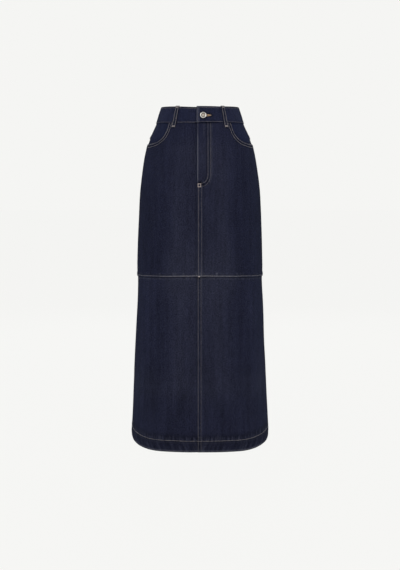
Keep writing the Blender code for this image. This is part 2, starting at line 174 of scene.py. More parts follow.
def sectionAt(height):
    last = len(sectionTable) - 1
    row = (height[..., None] < sectionTable[1:last, 0]).sum(-1)
    upper, lower = sectionTable[row], sectionTable[row + 1]
    above, below = sectionTable[np.maximum(row - 1, 0)], sectionTable[np.minimum(row + 2, last)]
    span = lower[..., :1] - upper[..., :1]
    part = np.clip((height[..., None] - upper[..., :1]) / span, 0.0, 1.0)
    slopeUp = (lower - above) / (lower[..., :1] - above[..., :1]) * span
    slopeDown = (below - upper) / (below[..., :1] - upper[..., :1]) * span
    level = upper + (lower - upper) * part * part * (3 - 2 * part)
    level = level + slopeUp * part * (1 - part) ** 2 + slopeDown * part * part * (part - 1)
    return np.moveaxis(level[..., 1:], -1, 0)


def frontness(angle):
    return np.maximum(np.cos(angle), 0.0) ** 2


def backness(angle):
    return np.maximum(-np.cos(angle), 0.0) ** 2


def bandTop(angle):
    return skirt["bandTop"] - skirt["bandTopDip"] * frontness(angle)


def bandBottom(angle):
    across = np.sin(angle)
    sag = skirt["bandSag"] * ramp(across, *skirt["sagCentre"]) * ramp(across, *skirt["sagSide"])
    return skirt["bandBottom"] - skirt["bandBottomDip"] * frontness(angle) - sag * (np.cos(angle) > 0)


def tierSeam(angle):
    rise = skirt["tierFrontRise"] * frontness(angle) + skirt["tierBackRise"] * backness(angle)
    return skirt["tierSeam"] + rise


def hemEdge(angle):
    across = np.abs(np.sin(angle))
    sag = skirt["hemSag"] * hump(across - 0.72, 0.24)
    return skirt["hem"] + skirt["hemSideRise"] * across ** skirt["hemSharpness"] - sag


def yokeSeam(angle):
    drop = skirt["yokeSide"] + (skirt["yokeCentre"] - skirt["yokeSide"]) * backness(angle)
    return bandBottom(angle) - drop


def mouthEdge(angle):
    part = np.clip((sideSeam - np.abs(angle)) / (sideSeam - math.radians(skirt["mouthStart"])), 0, 1)
    power = skirt["mouthSquareness"]
    return bandBottom(angle) - skirt["mouthDrop"] * (1 - part ** power) ** (1 / power)


def heightOf(edge, angle=0.0):
    return float(edge(np.array(angle)))


def creaseDepth(angle, height):
    fromCentre = np.degrees(np.arctan2(np.abs(np.sin(angle)), np.abs(np.cos(angle))))
    isFront = np.cos(angle) > 0
    isLeft = np.sin(angle) > 0
    half = skirt["foldFade"] / 2
    total = np.zeros_like(fromCentre)
    for face, side, topAngle, top, bottomAngle, bottom, halfWidth, depth in creases:
        there = isFront if face == "front" else ~isFront
        line = topAngle + (bottomAngle - topAngle) * (height - top) / (bottom - top)
        fade = ramp(height, top + half, top - half) * ramp(height, bottom - half, bottom + half)
        if side:
            there = there & (isLeft if side > 0 else ~isLeft)
            fade = fade * ramp(fromCentre, 0, centreFade)
        total += there * depth * fade * hump(fromCentre - line, halfWidth)
    belowBand = ramp(height, *rippleFade)
    for turns, waves, phase, depth in ripples:
        total += belowBand * depth * np.sin(turns * angle + 2 * math.pi * waves * height + phase)
    return total


def bare(angle, height):
    halfWidth, front, back, power = sectionAt(height)
    across, along = np.abs(np.sin(angle)), np.abs(np.cos(angle))
    depth = np.where(np.cos(angle) > 0, front, back)
    radius = ((across / halfWidth) ** power + (along / depth) ** power) ** (-1 / power)
    radius = radius - creaseDepth(angle, height)
    return np.stack((radius * np.sin(angle), -radius * np.cos(angle), height), -1)


def outwardAt(angle, height):
    along = bare(angle + 0.01, height) - bare(angle - 0.01, height)
    level = np.stack((along[..., 1], -along[..., 0], np.zeros_like(height)), -1)
    return level / np.linalg.norm(level, axis=-1, keepdims=True)


def onSkirt(angle, height, lift=0.0):
    angle, height, lift = np.broadcast_arrays(angle, height, lift)
    angle, height = angle.astype(float), height.astype(float)
    return bare(angle, height) + outwardAt(angle, height) * lift[..., None]


def lengthsAlong(points):
    # how far along its row each point of a grid lies
    steps = np.linalg.norm(np.diff(points, axis=1), axis=-1)
    return np.concatenate((np.zeros((len(points), 1)), np.cumsum(steps, axis=1)), axis=1)


def stations(total, coarse, startFine, startReach, endFine, endReach):
    # shares from 0 to 1 of a length, closer together at its two ends
    places = [0.0]
    while places[-1] < total:
        here = places[-1]
        fromStart = startFine + (coarse - startFine) * ramp(here, startReach, startReach * 2)
        fromEnd = endFine + (coarse - endFine) * ramp(total - here, endReach, endReach * 2)
        places.append(here + float(min(fromStart, fromEnd)))
    return np.array(places) / places[-1]


def roundedEnd(shares, total, radius):
    # three more stations close to the end, for the curve of a folded edge
    close = 1 - radius / total * np.array([0.8, 0.4, 0.12])
    kept = shares[shares < close[0] - 0.3 * radius / total]
    return np.concatenate((kept, close, [1.0]))


def rounded(distance, radius):
    part = np.clip(1 - distance / radius, 0, 1)
    return radius * (1 - np.sqrt(1 - part * part))


# how the cloth puckers beside each edge: spacing, reach from the edge, slant, and what is added to the seed
puckering = {
    "lap": (0.0085, 0.013, 0.5, 0),
    "tucked": (0.0095, 0.009, -0.12, 1),
    "folded": (0.0090, 0.0130, 0.10, 2),
    "hem": (0.0112, 0.034, 0.42, 3),
    "aboveHem": (0.0062, 0.017, 0.1, 4),
    "mouth": (0.0100, 0.014, 0.3, 5),
    "side": (0.0150, 0.014, 0.2, 6),
    "fly": (0.0130, 0.030, 0.0, 7),
    "bandFoot": (0.0105, 0.012, 0.25, 11),
    "bandTop": (0.0115, 0.010, -0.2, 12),
    "facing": (0.013, 0.012, 0.2, 40),
    "loop": (0.0045, 0.03, 0.3, 0),
}


def puckers(edge, along, fromEdge, seed=0):
    # uneven small ridges that run up from a sewn edge
    spacing, reach, slant, added = puckering[edge]
    dice = np.random.default_rng(seed + added)
    low, high = along.min(), along.max()
    count = max(int((high - low) / spacing), 1)
    centres = low + (np.arange(count) + dice.uniform(0.1, 0.9, count)) * spacing
    total = np.zeros_like(along)
    for centre in centres:
        size = dice.uniform(0.3, 1.0)
        own = reach * dice.uniform(0.6, 1.25)
        width = spacing * dice.uniform(0.22, 0.34)
        total += size * hump(along - centre - slant * fromEdge, width) * (1 - ramp(fromEdge, own * 0.35, own))
    return total


def distanceTo(points, path):
    # from each point of a grid to the nearest point of a finely divided line
    tree = KDTree(len(path))
    for number, place in enumerate(path):
        tree.insert(place, number)
    tree.balance()
    return np.array([tree.find(place)[2] for place in points.reshape(-1, 3)]).reshape(points.shape[:-1])


def sewShell(name, outer, inner, tones, materials, sharpAngle=55, straight=False):
    # a closed thin wall between two grids of points; its cloth coordinates are lengths across and up
    # tones: wear is rubbed pale and, along folded edges, also a painted highlight; fade makes the cloth
    # paler, in places as painted light; deep darkens it as painted shade
    rows, columns = outer.shape[:2]
    number = np.arange(rows * columns).reshape(rows, columns)
    under = number + rows * columns

    def corners(grid):
        around = (grid[:-1, :-1], grid[:-1, 1:], grid[1:, 1:], grid[1:, :-1])
        return np.stack(around, -1).reshape(-1, 4)

    rim = [
        np.stack((number[0, :-1], under[0, :-1], under[0, 1:], number[0, 1:]), -1),
        np.stack((number[-1, 1:], under[-1, 1:], under[-1, :-1], number[-1, :-1]), -1),
        np.stack((number[1:, 0], under[1:, 0], under[:-1, 0], number[:-1, 0]), -1),
        np.stack((number[:-1, -1], under[:-1, -1], under[1:, -1], number[1:, -1]), -1),
    ]
    faces = np.concatenate([corners(number), corners(under)[:, ::-1]] + rim)
    points = np.concatenate((outer.reshape(-1, 3), inner.reshape(-1, 3)))
    first = points[faces[len(faces) // 5]]
    turned = np.cross(first[1] - first[0], first[2] - first[0]) @ (first[0] - [0, 0, first[0][2]]) < 0
    if turned:
        faces = faces[:, ::-1]
    mesh = bpy.data.meshes.new(name)
    mesh.from_pydata(points.tolist(), [], faces.tolist())
    steps = np.linalg.norm(np.diff(outer, axis=1), axis=-1)
    if straight:
        # the grain of a straight strip runs along it, however the strip is bent
        steps = np.broadcast_to(steps[rows // 2], steps.shape)
    # the cloth runs the same way round the skirt on every piece, so the twill leans one way throughout
    start, end = outer[rows // 2, 0], outer[rows // 2, columns // 8]
    way = 1 if start[0] * end[1] - start[1] * end[0] > 0 else -1
    begin = outer[rows // 2, 0, 0] if straight else outer[:, :1, 0]
    across = way * np.concatenate((np.zeros((rows, 1)), np.cumsum(steps, axis=1)), axis=1) + begin
    cloth = np.stack((across, outer[..., 2]), -1).reshape(-1, 2)
    cloth = np.concatenate((cloth, cloth))
    layer = mesh.uv_layers.new(name="cloth")
    corner = np.zeros(len(mesh.loops), int)
    mesh.loops.foreach_get("vertex_index", corner)
    layer.data.foreach_set("uv", cloth[corner].ravel())
    for label, values in tones.items():
        kept = mesh.attributes.new(label, "FLOAT", "POINT")
        both = np.concatenate((np.broadcast_to(values, (rows, columns)).ravel(), np.zeros(rows * columns)))
        kept.data.foreach_set("value", np.clip(both, 0, 1.5).astype(np.float32))
    for material in materials:
        mesh.materials.append(material)
    shown = np.zeros(len(faces), int)
    cells = (rows - 1) * (columns - 1)
    shown[cells:2 * cells] = len(materials) - 1
    mesh.polygons.foreach_set("material_index", shown)
    mesh.shade_smooth()
    mesh.set_sharp_from_angle(angle=math.radians(sharpAngle))
    mesh.update()
    return addObject(name, mesh)


# materials


def node(tree, kind, inputs=None, output=0, **settings):
    # adds a node and hands back one of its outputs
    made = tree.nodes.new(kind)
    for key, value in settings.items():
        setattr(made, key, value)
    for key, value in (inputs or {}).items():
        if isinstance(value, bpy.types.NodeSocket):
            tree.links.new(value, made.inputs[key])
        else:
            made.inputs[key].default_value = value
    return made.outputs[output]


def calc(tree, operation, first, second=0.0, third=0.0):
    return node(tree, "ShaderNodeMath", {0: first, 1: second, 2: third}, operation=operation)


def mixed(tree, share, first, second, blend="MIX"):
    return node(tree, "ShaderNodeMix", {0: share, 6: first, 7: second}, 2, data_type="RGBA", blend_type=blend)


def stored(tree, label):
    return node(tree, "ShaderNodeAttribute", output="Fac", attribute_name=label)


def noise(tree, place, scale, detail, **more):
    return node(tree, "ShaderNodeTexNoise", {"Vector": place, "Scale": scale, "Detail": detail, **more})


def newFinish(name, values):
    # a material, its tree and its shader's sockets; what is the same all over is set on them here
    material = bpy.data.materials.new(name)
    material.use_nodes = True
    tree = material.node_tree
    sockets = tree.nodes["Principled BSDF"].inputs
    for label, value in values.items():
        sockets[label].default_value = value
    return material, tree, sockets


def raiseSurface(tree, sockets, strength, distance, height):
    raised = node(tree, "ShaderNodeBump", {"Strength": strength, "Distance": distance, "Height": height})
    tree.links.new(raised, sockets["Normal"])


denim = {
    "twillPitch": 0.00078,       # from one diagonal line of the weave to the next
    "twillLean": 28,             # degrees that the lines lean from upright
    "grain": (0.00035, 0.00060),
    # width, height, strength and detail of each kind of unevenness in the yarn and the dye
    "uneven": [
        (0.0038, 0.022, 0.82, 3.0),      # streaks
        (0.0130, 0.210, 0.62, 2.0),      # long streaks
        (0.0011, 0.007, 0.75, 2.0),      # slubs
        (0.0026, 0.0030, 2.05, 1.0),     # flecks
        (0.045, 0.060, 0.35, 2.0),       # clouds
    ],
    # a full fade mixes in this share of the pale colour, which stands for wear and for painted light
    "fadeShare": 0.040,          # how much worn colour a full fade shows
    # painted shade in creases and painted light on ridges, partly also wear
    "creaseShade": 48.0,               # how much deeper the cloth is for each metre of crease
    "ridgeLight": 4.4,               # how many times as much a ridge fades
    # name: deep colour, pale colour of the weft that shows, pale colour for wear, painted highlight and
    # painted light, share of weft, sheen
    "panel": ((0.0060, 0.0073, 0.0238), (0.095, 0.102, 0.122), (0.125, 0.131, 0.165), 0.055, 0.004),
    "band": ((0.0060, 0.0078, 0.0262), (0.098, 0.108, 0.142), (0.125, 0.132, 0.175), 0.055, 0.008),
    "facing": ((0.0048, 0.0065, 0.0232), (0.072, 0.086, 0.128), (0.105, 0.118, 0.168), 0.055, 0.005),
    "loop": ((0.0066, 0.0078, 0.0225), (0.110, 0.112, 0.135), (0.130, 0.135, 0.165), 0.060, 0.006),
    "inside": ((0.155, 0.180, 0.235), (0.330, 0.350, 0.390), (0.300, 0.320, 0.360), 0.500, 0.02),
}

# the ring of painted shadow round the button and its hole; distances are counted from away, so that none is
# negative
buttonShadow = {"away": 0.0050, "ring": 0.0004, "ringHalf": 0.0026, "dark": 0.66}


def denimMaterial(kind):
    deep, weft, paleColour, weftShare, sheen = denim[kind]
    material, tree, sockets = newFinish("denim_" + kind, {
        "Roughness": 0.90, "Specular IOR Level": 0.05, "Sheen Weight": sheen, "Sheen Roughness": 0.45,
        "Sheen Tint": (0.55, 0.62, 0.95, 1)})
    cloth = node(tree, "ShaderNodeUVMap", uv_map="cloth")

    def patches(width, height, detail):
        # noise stretched to patches of this width and height
        scaled = node(tree, "ShaderNodeMapping", {"Vector": cloth, "Scale": (1 / width, 1 / height, 1)})
        return noise(tree, scaled, 1.0, detail, Roughness=0.55)

    grain = patches(*denim["grain"], 1.0)
    turned = (0, 0, math.radians(denim["twillLean"]))
    lean = node(tree, "ShaderNodeMapping", {"Vector": cloth, "Rotation": turned})
    twill = node(tree, "ShaderNodeTexWave", {
        "Vector": lean, "Scale": 2 * math.pi / 20 / denim["twillPitch"], "Distortion": 1.1,
        "Detail": 1.0, "Detail Scale": 2.0}, 1, wave_type="BANDS", bands_direction="X")

    # the weft shows as small pale dots in the valleys of the twill
    dots = calc(tree, "MULTIPLY", calc(tree, "SUBTRACT", 1.0, twill), grain)
    dots = node(tree, "ShaderNodeMapRange", {"Value": dots, "From Min": 0.10, "From Max": 0.62,
                                             "To Min": 0.0, "To Max": weftShare * 4})
    colour = mixed(tree, dots, (*deep, 1), (*weft, 1))
    # painted shade stored on the pieces darkens the cloth
    deepened = stored(tree, "deep")
    if kind == "band":
        # painted shadow: the cloth is darkest in the tight space round the button and its hole
        ring = calc(tree, "SUBTRACT", stored(tree, "buttonShadow"), buttonShadow["away"] + buttonShadow["ring"])
        ring = calc(tree, "ABSOLUTE", ring)
        ring = calc(tree, "MULTIPLY_ADD", ring, -buttonShadow["dark"] / buttonShadow["ringHalf"], buttonShadow["dark"])
        deepened = calc(tree, "MAXIMUM", deepened, ring)
    tone = 1.0
    for width, height, strength, detail in denim["uneven"]:
        patchy = calc(tree, "MULTIPLY_ADD", patches(width, height, detail), strength, -0.5 * strength)
        tone = calc(tree, "ADD", tone, patchy)
    tone = calc(tree, "MULTIPLY", calc(tree, "MAXIMUM", tone, 0.15), calc(tree, "SUBTRACT", 1.0, deepened))
    toneColour = node(tree, "ShaderNodeCombineColor", {0: tone, 1: tone, 2: tone})
    colour = mixed(tree, 1.0, colour, toneColour, "MULTIPLY")
    # the pale colour comes in for wear, for painted highlights on folded edges and for painted light
    paleShare = calc(tree, "MULTIPLY", stored(tree, "wearAndHighlight"), calc(tree, "MULTIPLY_ADD", tone, 0.55, 0.25))
    fadeAndLight = calc(tree, "MULTIPLY", stored(tree, "fade"), calc(tree, "MULTIPLY", tone, denim["fadeShare"]))
    paleShare = calc(tree, "MINIMUM", calc(tree, "ADD", paleShare, fadeAndLight), 1.0)
    tree.links.new(mixed(tree, paleShare, colour, (*paleColour, 1)), sockets["Base Color"])
    relief = calc(tree, "MULTIPLY_ADD", twill, 0.7, calc(tree, "MULTIPLY", grain, 0.5))
    raiseSurface(tree, sockets, 0.55, 0.00022, relief)
    return material


thread = {
    # name: colour of a light stitch, colour of a dull one
    "topstitch": ((0.285, 0.262, 0.262), (0.082, 0.073, 0.082)),
    "tack": ((0.430, 0.378, 0.360), (0.300, 0.255, 0.240)),
    "buttonhole": ((0.460, 0.320, 0.170), (0.230, 0.140, 0.105)),
}


def threadMaterial(kind):
    light, dull = thread[kind]
    material, tree, sockets = newFinish("thread_" + kind, {"Roughness": 0.62, "Specular IOR Level": 0.35})
    fuzz = noise(tree, node(tree, "ShaderNodeTexCoord", output="Object"), 2600.0, 1.0)
    share = calc(tree, "MULTIPLY_ADD", fuzz, 0.4, calc(tree, "SUBTRACT", stored(tree, "tone"), 0.2))
    share = calc(tree, "MINIMUM", calc(tree, "MAXIMUM", share, 0.0), 1.0)
    tree.links.new(mixed(tree, share, (*dull, 1), (*light, 1)), sockets["Base Color"])
    raiseSurface(tree, sockets, 0.5, 0.0001, fuzz)
    return material


nickel = {
    "bright": (0.50, 0.485, 0.470),
    "dark": (0.200, 0.165, 0.125),
    "roughness": 0.38,
}


def nickelMaterial():
    material, tree, sockets = newFinish("antique_nickel", {"Metallic": 1.0})
    spots = noise(tree, node(tree, "ShaderNodeTexCoord", output="Object"), 900.0, 4.0)
    share = calc(tree, "MULTIPLY", stored(tree, "aged"), calc(tree, "MULTIPLY_ADD", spots, 0.9, 0.5))
    tree.links.new(mixed(tree, share, (*nickel["bright"], 1), (*nickel["dark"], 1)), sockets["Base Color"])
    rough = calc(tree, "MULTIPLY_ADD", share, 0.25, nickel["roughness"])
    tree.links.new(rough, sockets["Roughness"])
    raiseSurface(tree, sockets, 0.25, 0.00005, spots)
    return material


panelDenim = [denimMaterial("panel"), denimMaterial("inside")]
facingDenim = [denimMaterial("facing"), denimMaterial("inside")]
bandDenim = [denimMaterial("band")]
loopDenim = [denimMaterial("loop")]
stitchThread, tackThread, holeThread = (threadMaterial(kind) for kind in thread)
print("materials made")

# where the rows of stitches run, from the folded edge that each belongs to
rows = {
    "felled": {"upper": (0.0028, 0.0099), "lower": (0.0019, 0.0090)},   # the two rows of a lapped centre seam
    "felledPale": {"upper": (0.55, 0.16), "lower": (0.32, 0.18)},
    "flyPale": (0.44, 0.26),
    "bandPale": (0.45, 0.42, 0.05),   # the top, the bottom and the end of the band
    "yoke": (0.0020, 0.0085),
    "tier": 0.0029, "tierSpread": 0.0008,   # it lies this much higher towards the side seams
    "hem": 0.0297,
    "mouth": (0.0026, 0.0093),
    "flyStraight": (0.0210, 0.0282),  # across from the centre line
    "flyCurveStart": (-0.1600, -0.1570),
    "flyEnd": ((0.0047, -0.1826), (0.0052, -0.1904)),
    "flyTack": -0.1881,
    "bandTop": 0.0040,
    "bandBottom": 0.0023,
    "bandEnd": 0.0030,
    "loop": 0.0034,
    # height of the front loops' feet, and what turns degrees from them into a distance over the panels, for
    # the painted shadow under those feet
    "loopFootShadow": -0.0382, "loopFootTurn": 41.7, "loopFootRadius": 0.128,
    "groove": 0.00022,               # how deep a row pulls the cloth in, and how wide
    "grooveWidth": 0.0011,
}

edges = {
    "ridge": 0.00065,        # the layer that is turned under lifts the cloth this much
    "ridgeReach": 0.0095,
    "radius": 0.0009,        # of the fold at an edge
    "sideRadius": 0.0011,
    "hemRadius": 0.0013,
    "hemLayer": 0.0014,      # how much thicker the turned-up cloth makes the hem
    "nearTier": (-0.404, -0.422),    # heights between which the lap comes near the tier seam
    "pucker": 0.00075,
    "rope": 0.00100,
    "hemTuckIn": 0.0016,
    "tuckLift": 0.0007,      # how far a tucked edge stands out inside the piece above
}

# lines of tone beside the edges: tone, strength, more of it for each wave, distance, half width; the deep
# lines are painted shade, and the wear on folded edges is partly painted highlight
toneLines = {
    "lapFold": [("wearAndHighlight", 0.28, 0.0, 0.0, 0.0010)],
    "lapMiddle": [("wearAndHighlight", 0.0, 0.16, 0.0, 0.0030), ("deep", 0.20, -0.20, 0.0, 0.0030)],
    "lapInner": [("wearAndHighlight", 0.11, 0.0, 0.0022, 0.0014)],
    "lapInnerShade": [("deep", 0.20, 0.0, 0.0056, 0.0020)],
    "overAtTier": [("wearAndHighlight", 0.16, 0.0, 0.0075, 0.0080)],
    "underShade": [("deep", 0.22, 0.0, 0.0044, 0.0036)],
    "underAtTier": [("wearAndHighlight", 0.16, 0.0, 0.0034, 0.0034)],
    "tucked": [("wearAndHighlight", 0.06, 0.13, 0.0034, 0.0026), ("deep", 0.32, 0.0, 0.0004, 0.0013)],
    "crossingShade": [("deep", 0.65, 0.0, 0.0034, 0.0024)],
    "ticks": [("wearAndHighlight", 0.58, 0.36, 0.0108, 0.0038)],
    "folded": [("wearAndHighlight", 0.16, 0.0, 0.0018, 0.0012), ("deep", 0.30, 0.0, 0.0066, 0.0014),
               ("deep", 0.30, 0.0, 0.0, 0.0007)],
    "besideRow": [("wearAndHighlight", 0.10, 0.24, 0.0008, 0.0016)],
    "hem": [("wearAndHighlight", 0.60, 0.0, 0.0030, 0.0017), ("wearAndHighlight", 0.0, 0.13, 0.012, 0.014),
            ("deep", 0.85, 0.0, 0.0, 0.0015)],
    "hemTop": [("wearAndHighlight", 0.08, 0.10, 0.0034, 0.0024)],
    "aboveHem": [("deep", 0.05, 0.36, 0.008, 0.009)],
    "mouth": [("wearAndHighlight", 0.50, 0.0, 0.0, 0.0010), ("deep", 0.40, 0.0, 0.0060, 0.0020),
              ("deep", 0.25, 0.0, 0.0115, 0.0016)],
    "shadeBetweenFlyRows": [("deep", 0.50, 0.0, 0.0032, 0.0022)],
    "shadeInsideFly": [("deep", 0.46, 0.0, 0.0038, 0.0018)],
    "flyMiddle": [("wearAndHighlight", 0.10, 0.0, 0.0105, 0.0024)],
    "shadowAboveFlyTack": [("deep", 0.90, 0.0, 0.0078, 0.0014)],
    "flyOuterRow": [("wearAndHighlight", 0.12, 0.10, 0.0026, 0.0020)],
    "flyInnerRow": [("wearAndHighlight", 0.02, 0.07, 0.0012, 0.0016)],
    "flyFold": [("wearAndHighlight", 1.70, 0.0, 0.0002, 0.0010)],
    "shadowUnderBand": [("deep", 0.62, 0.0, 0.0006, 0.0016)],
    "loopFootShadow": [("deep", 0.90, 0.0, 0.0, 0.0034)],
    "side": [("wearAndHighlight", 0.10, 0.0, 0.0, 0.0016)],
}

quarterSize = {
    "nearReach": 0.0360,     # columns lie closest between the centre line and this
    "nearStep": 0.0014,
    "farColumns": 124,
    "rowStep": 0.0056,
    "fineStep": 0.0018,
    "above": 0.0020,         # how far a panel runs up under the band
}


def depthAt(face, height):
    return sectionAt(height)[1 if face == "front" else 2]


def quarterColumns(face, side, level, lastAngle):
    # level and lastAngle have one value for each row
    edge = skirt["overEdge"] if side > 0 else skirt["underEdge"]
    close = np.array([0.0, 0.0002, 0.0005, 0.0009, 0.0014, 0.0020])
    near = np.arange(0.0030, quarterSize["nearReach"], quarterSize["nearStep"])
    distance = edge + np.concatenate((close, near))
    nearAngles = np.arctan2(distance[None, :], depthAt(face, level)[:, None])
    share = np.arange(1, quarterSize["farColumns"] + 1) / quarterSize["farColumns"]
    share = np.concatenate((share[:-1], [1 - 0.0040, 1 - 0.0012, 1.0]))
    reach = lastAngle - nearAngles[:, -1]
    return np.concatenate((nearAngles, nearAngles[:, -1:] + reach[:, None] * share[None, :]), axis=1)


def worldAngle(face, side, fromCentre):
    return side * fromCentre if face == "front" else side * (math.pi - fromCentre)


def quarterGrid(face, side, top, bottom, tucked, shares):
    centre = 0.0 if face == "front" else math.pi
    level = heightOf(top, centre) * (1 - shares) + heightOf(bottom, centre) * shares
    fromCentre = quarterColumns(face, side, level, np.full(len(level), sideSeam))
    angle = worldAngle(face, side, fromCentre)
    upper = top(angle) + (skirt["tuck"] if tucked else quarterSize["above"])
    height = upper * (1 - shares[:, None]) + bottom(angle) * shares[:, None]
    return {"face": face, "side": side, "fromCentre": fromCentre, "angle": angle, "height": height}


def mouthCurve(turn):
    # angles along the scooped mouth, for turns from its top corner to the side seam
    part = np.cos(turn) ** (2 / skirt["mouthSquareness"])
    return sideSeam - (sideSeam - math.radians(skirt["mouthStart"])) * part


def shareDown(angle, height):
    return np.maximum((bandBottom(angle) - height) / (bandBottom(angle) - tierSeam(angle)), 0.0)


def frontUpperGrid(side, mouthRows=32):
    mouthLast = mouthCurve(sideSeam * np.arange(mouthRows) / mouthRows)
    lowest = float(shareDown(np.array(sideSeam), mouthEdge(np.array(sideSeam))))
    mouthCentre = lowest * np.arange(mouthRows) / mouthRows
    mouthSide = shareDown(mouthLast, mouthEdge(mouthLast))
    length = (1 - lowest) * 0.41
    down = stations(length, quarterSize["rowStep"], 0.003, 0.01, quarterSize["fineStep"], 0.026)
    down = roundedEnd(down, length, edges["radius"])
    below = lowest + (1 - lowest) * down
    centreShare = np.concatenate((mouthCentre, below))
    sideShare = np.concatenate((mouthSide, below))
    lastAngle = np.concatenate((mouthLast, np.full(len(below), sideSeam)))
    level = heightOf(bandBottom) * (1 - centreShare) + heightOf(tierSeam) * centreShare
    fromCentre = quarterColumns("front", side, level, lastAngle)
    bend = np.maximum(fromCentre / lastAngle[:, None], 0.0) ** 2
    share = centreShare[:, None] + (sideShare - centreShare)[:, None] * bend
    angle = worldAngle("front", side, fromCentre)
    height = bandBottom(angle) * (1 - share) + tierSeam(angle) * share
    height[0] += quarterSize["above"]
    return {"face": "front", "side": side, "fromCentre": fromCentre, "angle": angle, "height": height}


def mouthPath(inset, side):
    # the mouth's curve, moved in over the panel by inset
    angle = mouthCurve(np.linspace(0, sideSeam, 400))
    height = mouthEdge(angle)
    radius = np.linalg.norm(onSkirt(angle + 0.01, height) - onSkirt(angle - 0.01, height), axis=-1) / 0.02
    across, up = np.gradient(angle) * radius, np.gradient(height)
    size = np.hypot(across, up)
    angle = angle + inset * up / size / radius
    height = height - inset * across / size
    kept = (angle < sideSeam) & (height < bandBottom(angle))
    return side * angle[kept], height[kept]


def flyPath(row):
    # straight down beside the fly, then round to the tack at its foot
    across, (endAcross, endHeight) = rows["flyStraight"][row], rows["flyEnd"][row]
    start = rows["flyCurveStart"][row]
    straight = np.arange(heightOf(bandBottom, 0.2) + 0.001, start, -0.0010)
    turn = np.linspace(0, sideSeam, 60)
    curved = endAcross + (across - endAcross) * np.cos(turn)
    distance = np.concatenate((np.full(len(straight), across), curved))
    height = np.concatenate((straight, start + (endHeight - start) * np.sin(turn)))
    return np.arctan2(distance, depthAt("front", height)), height


def tierRow(angle):
    return rows["tier"] + rows["tierSpread"] * ramp(np.abs(np.sin(angle)), 0.60, 0.80)


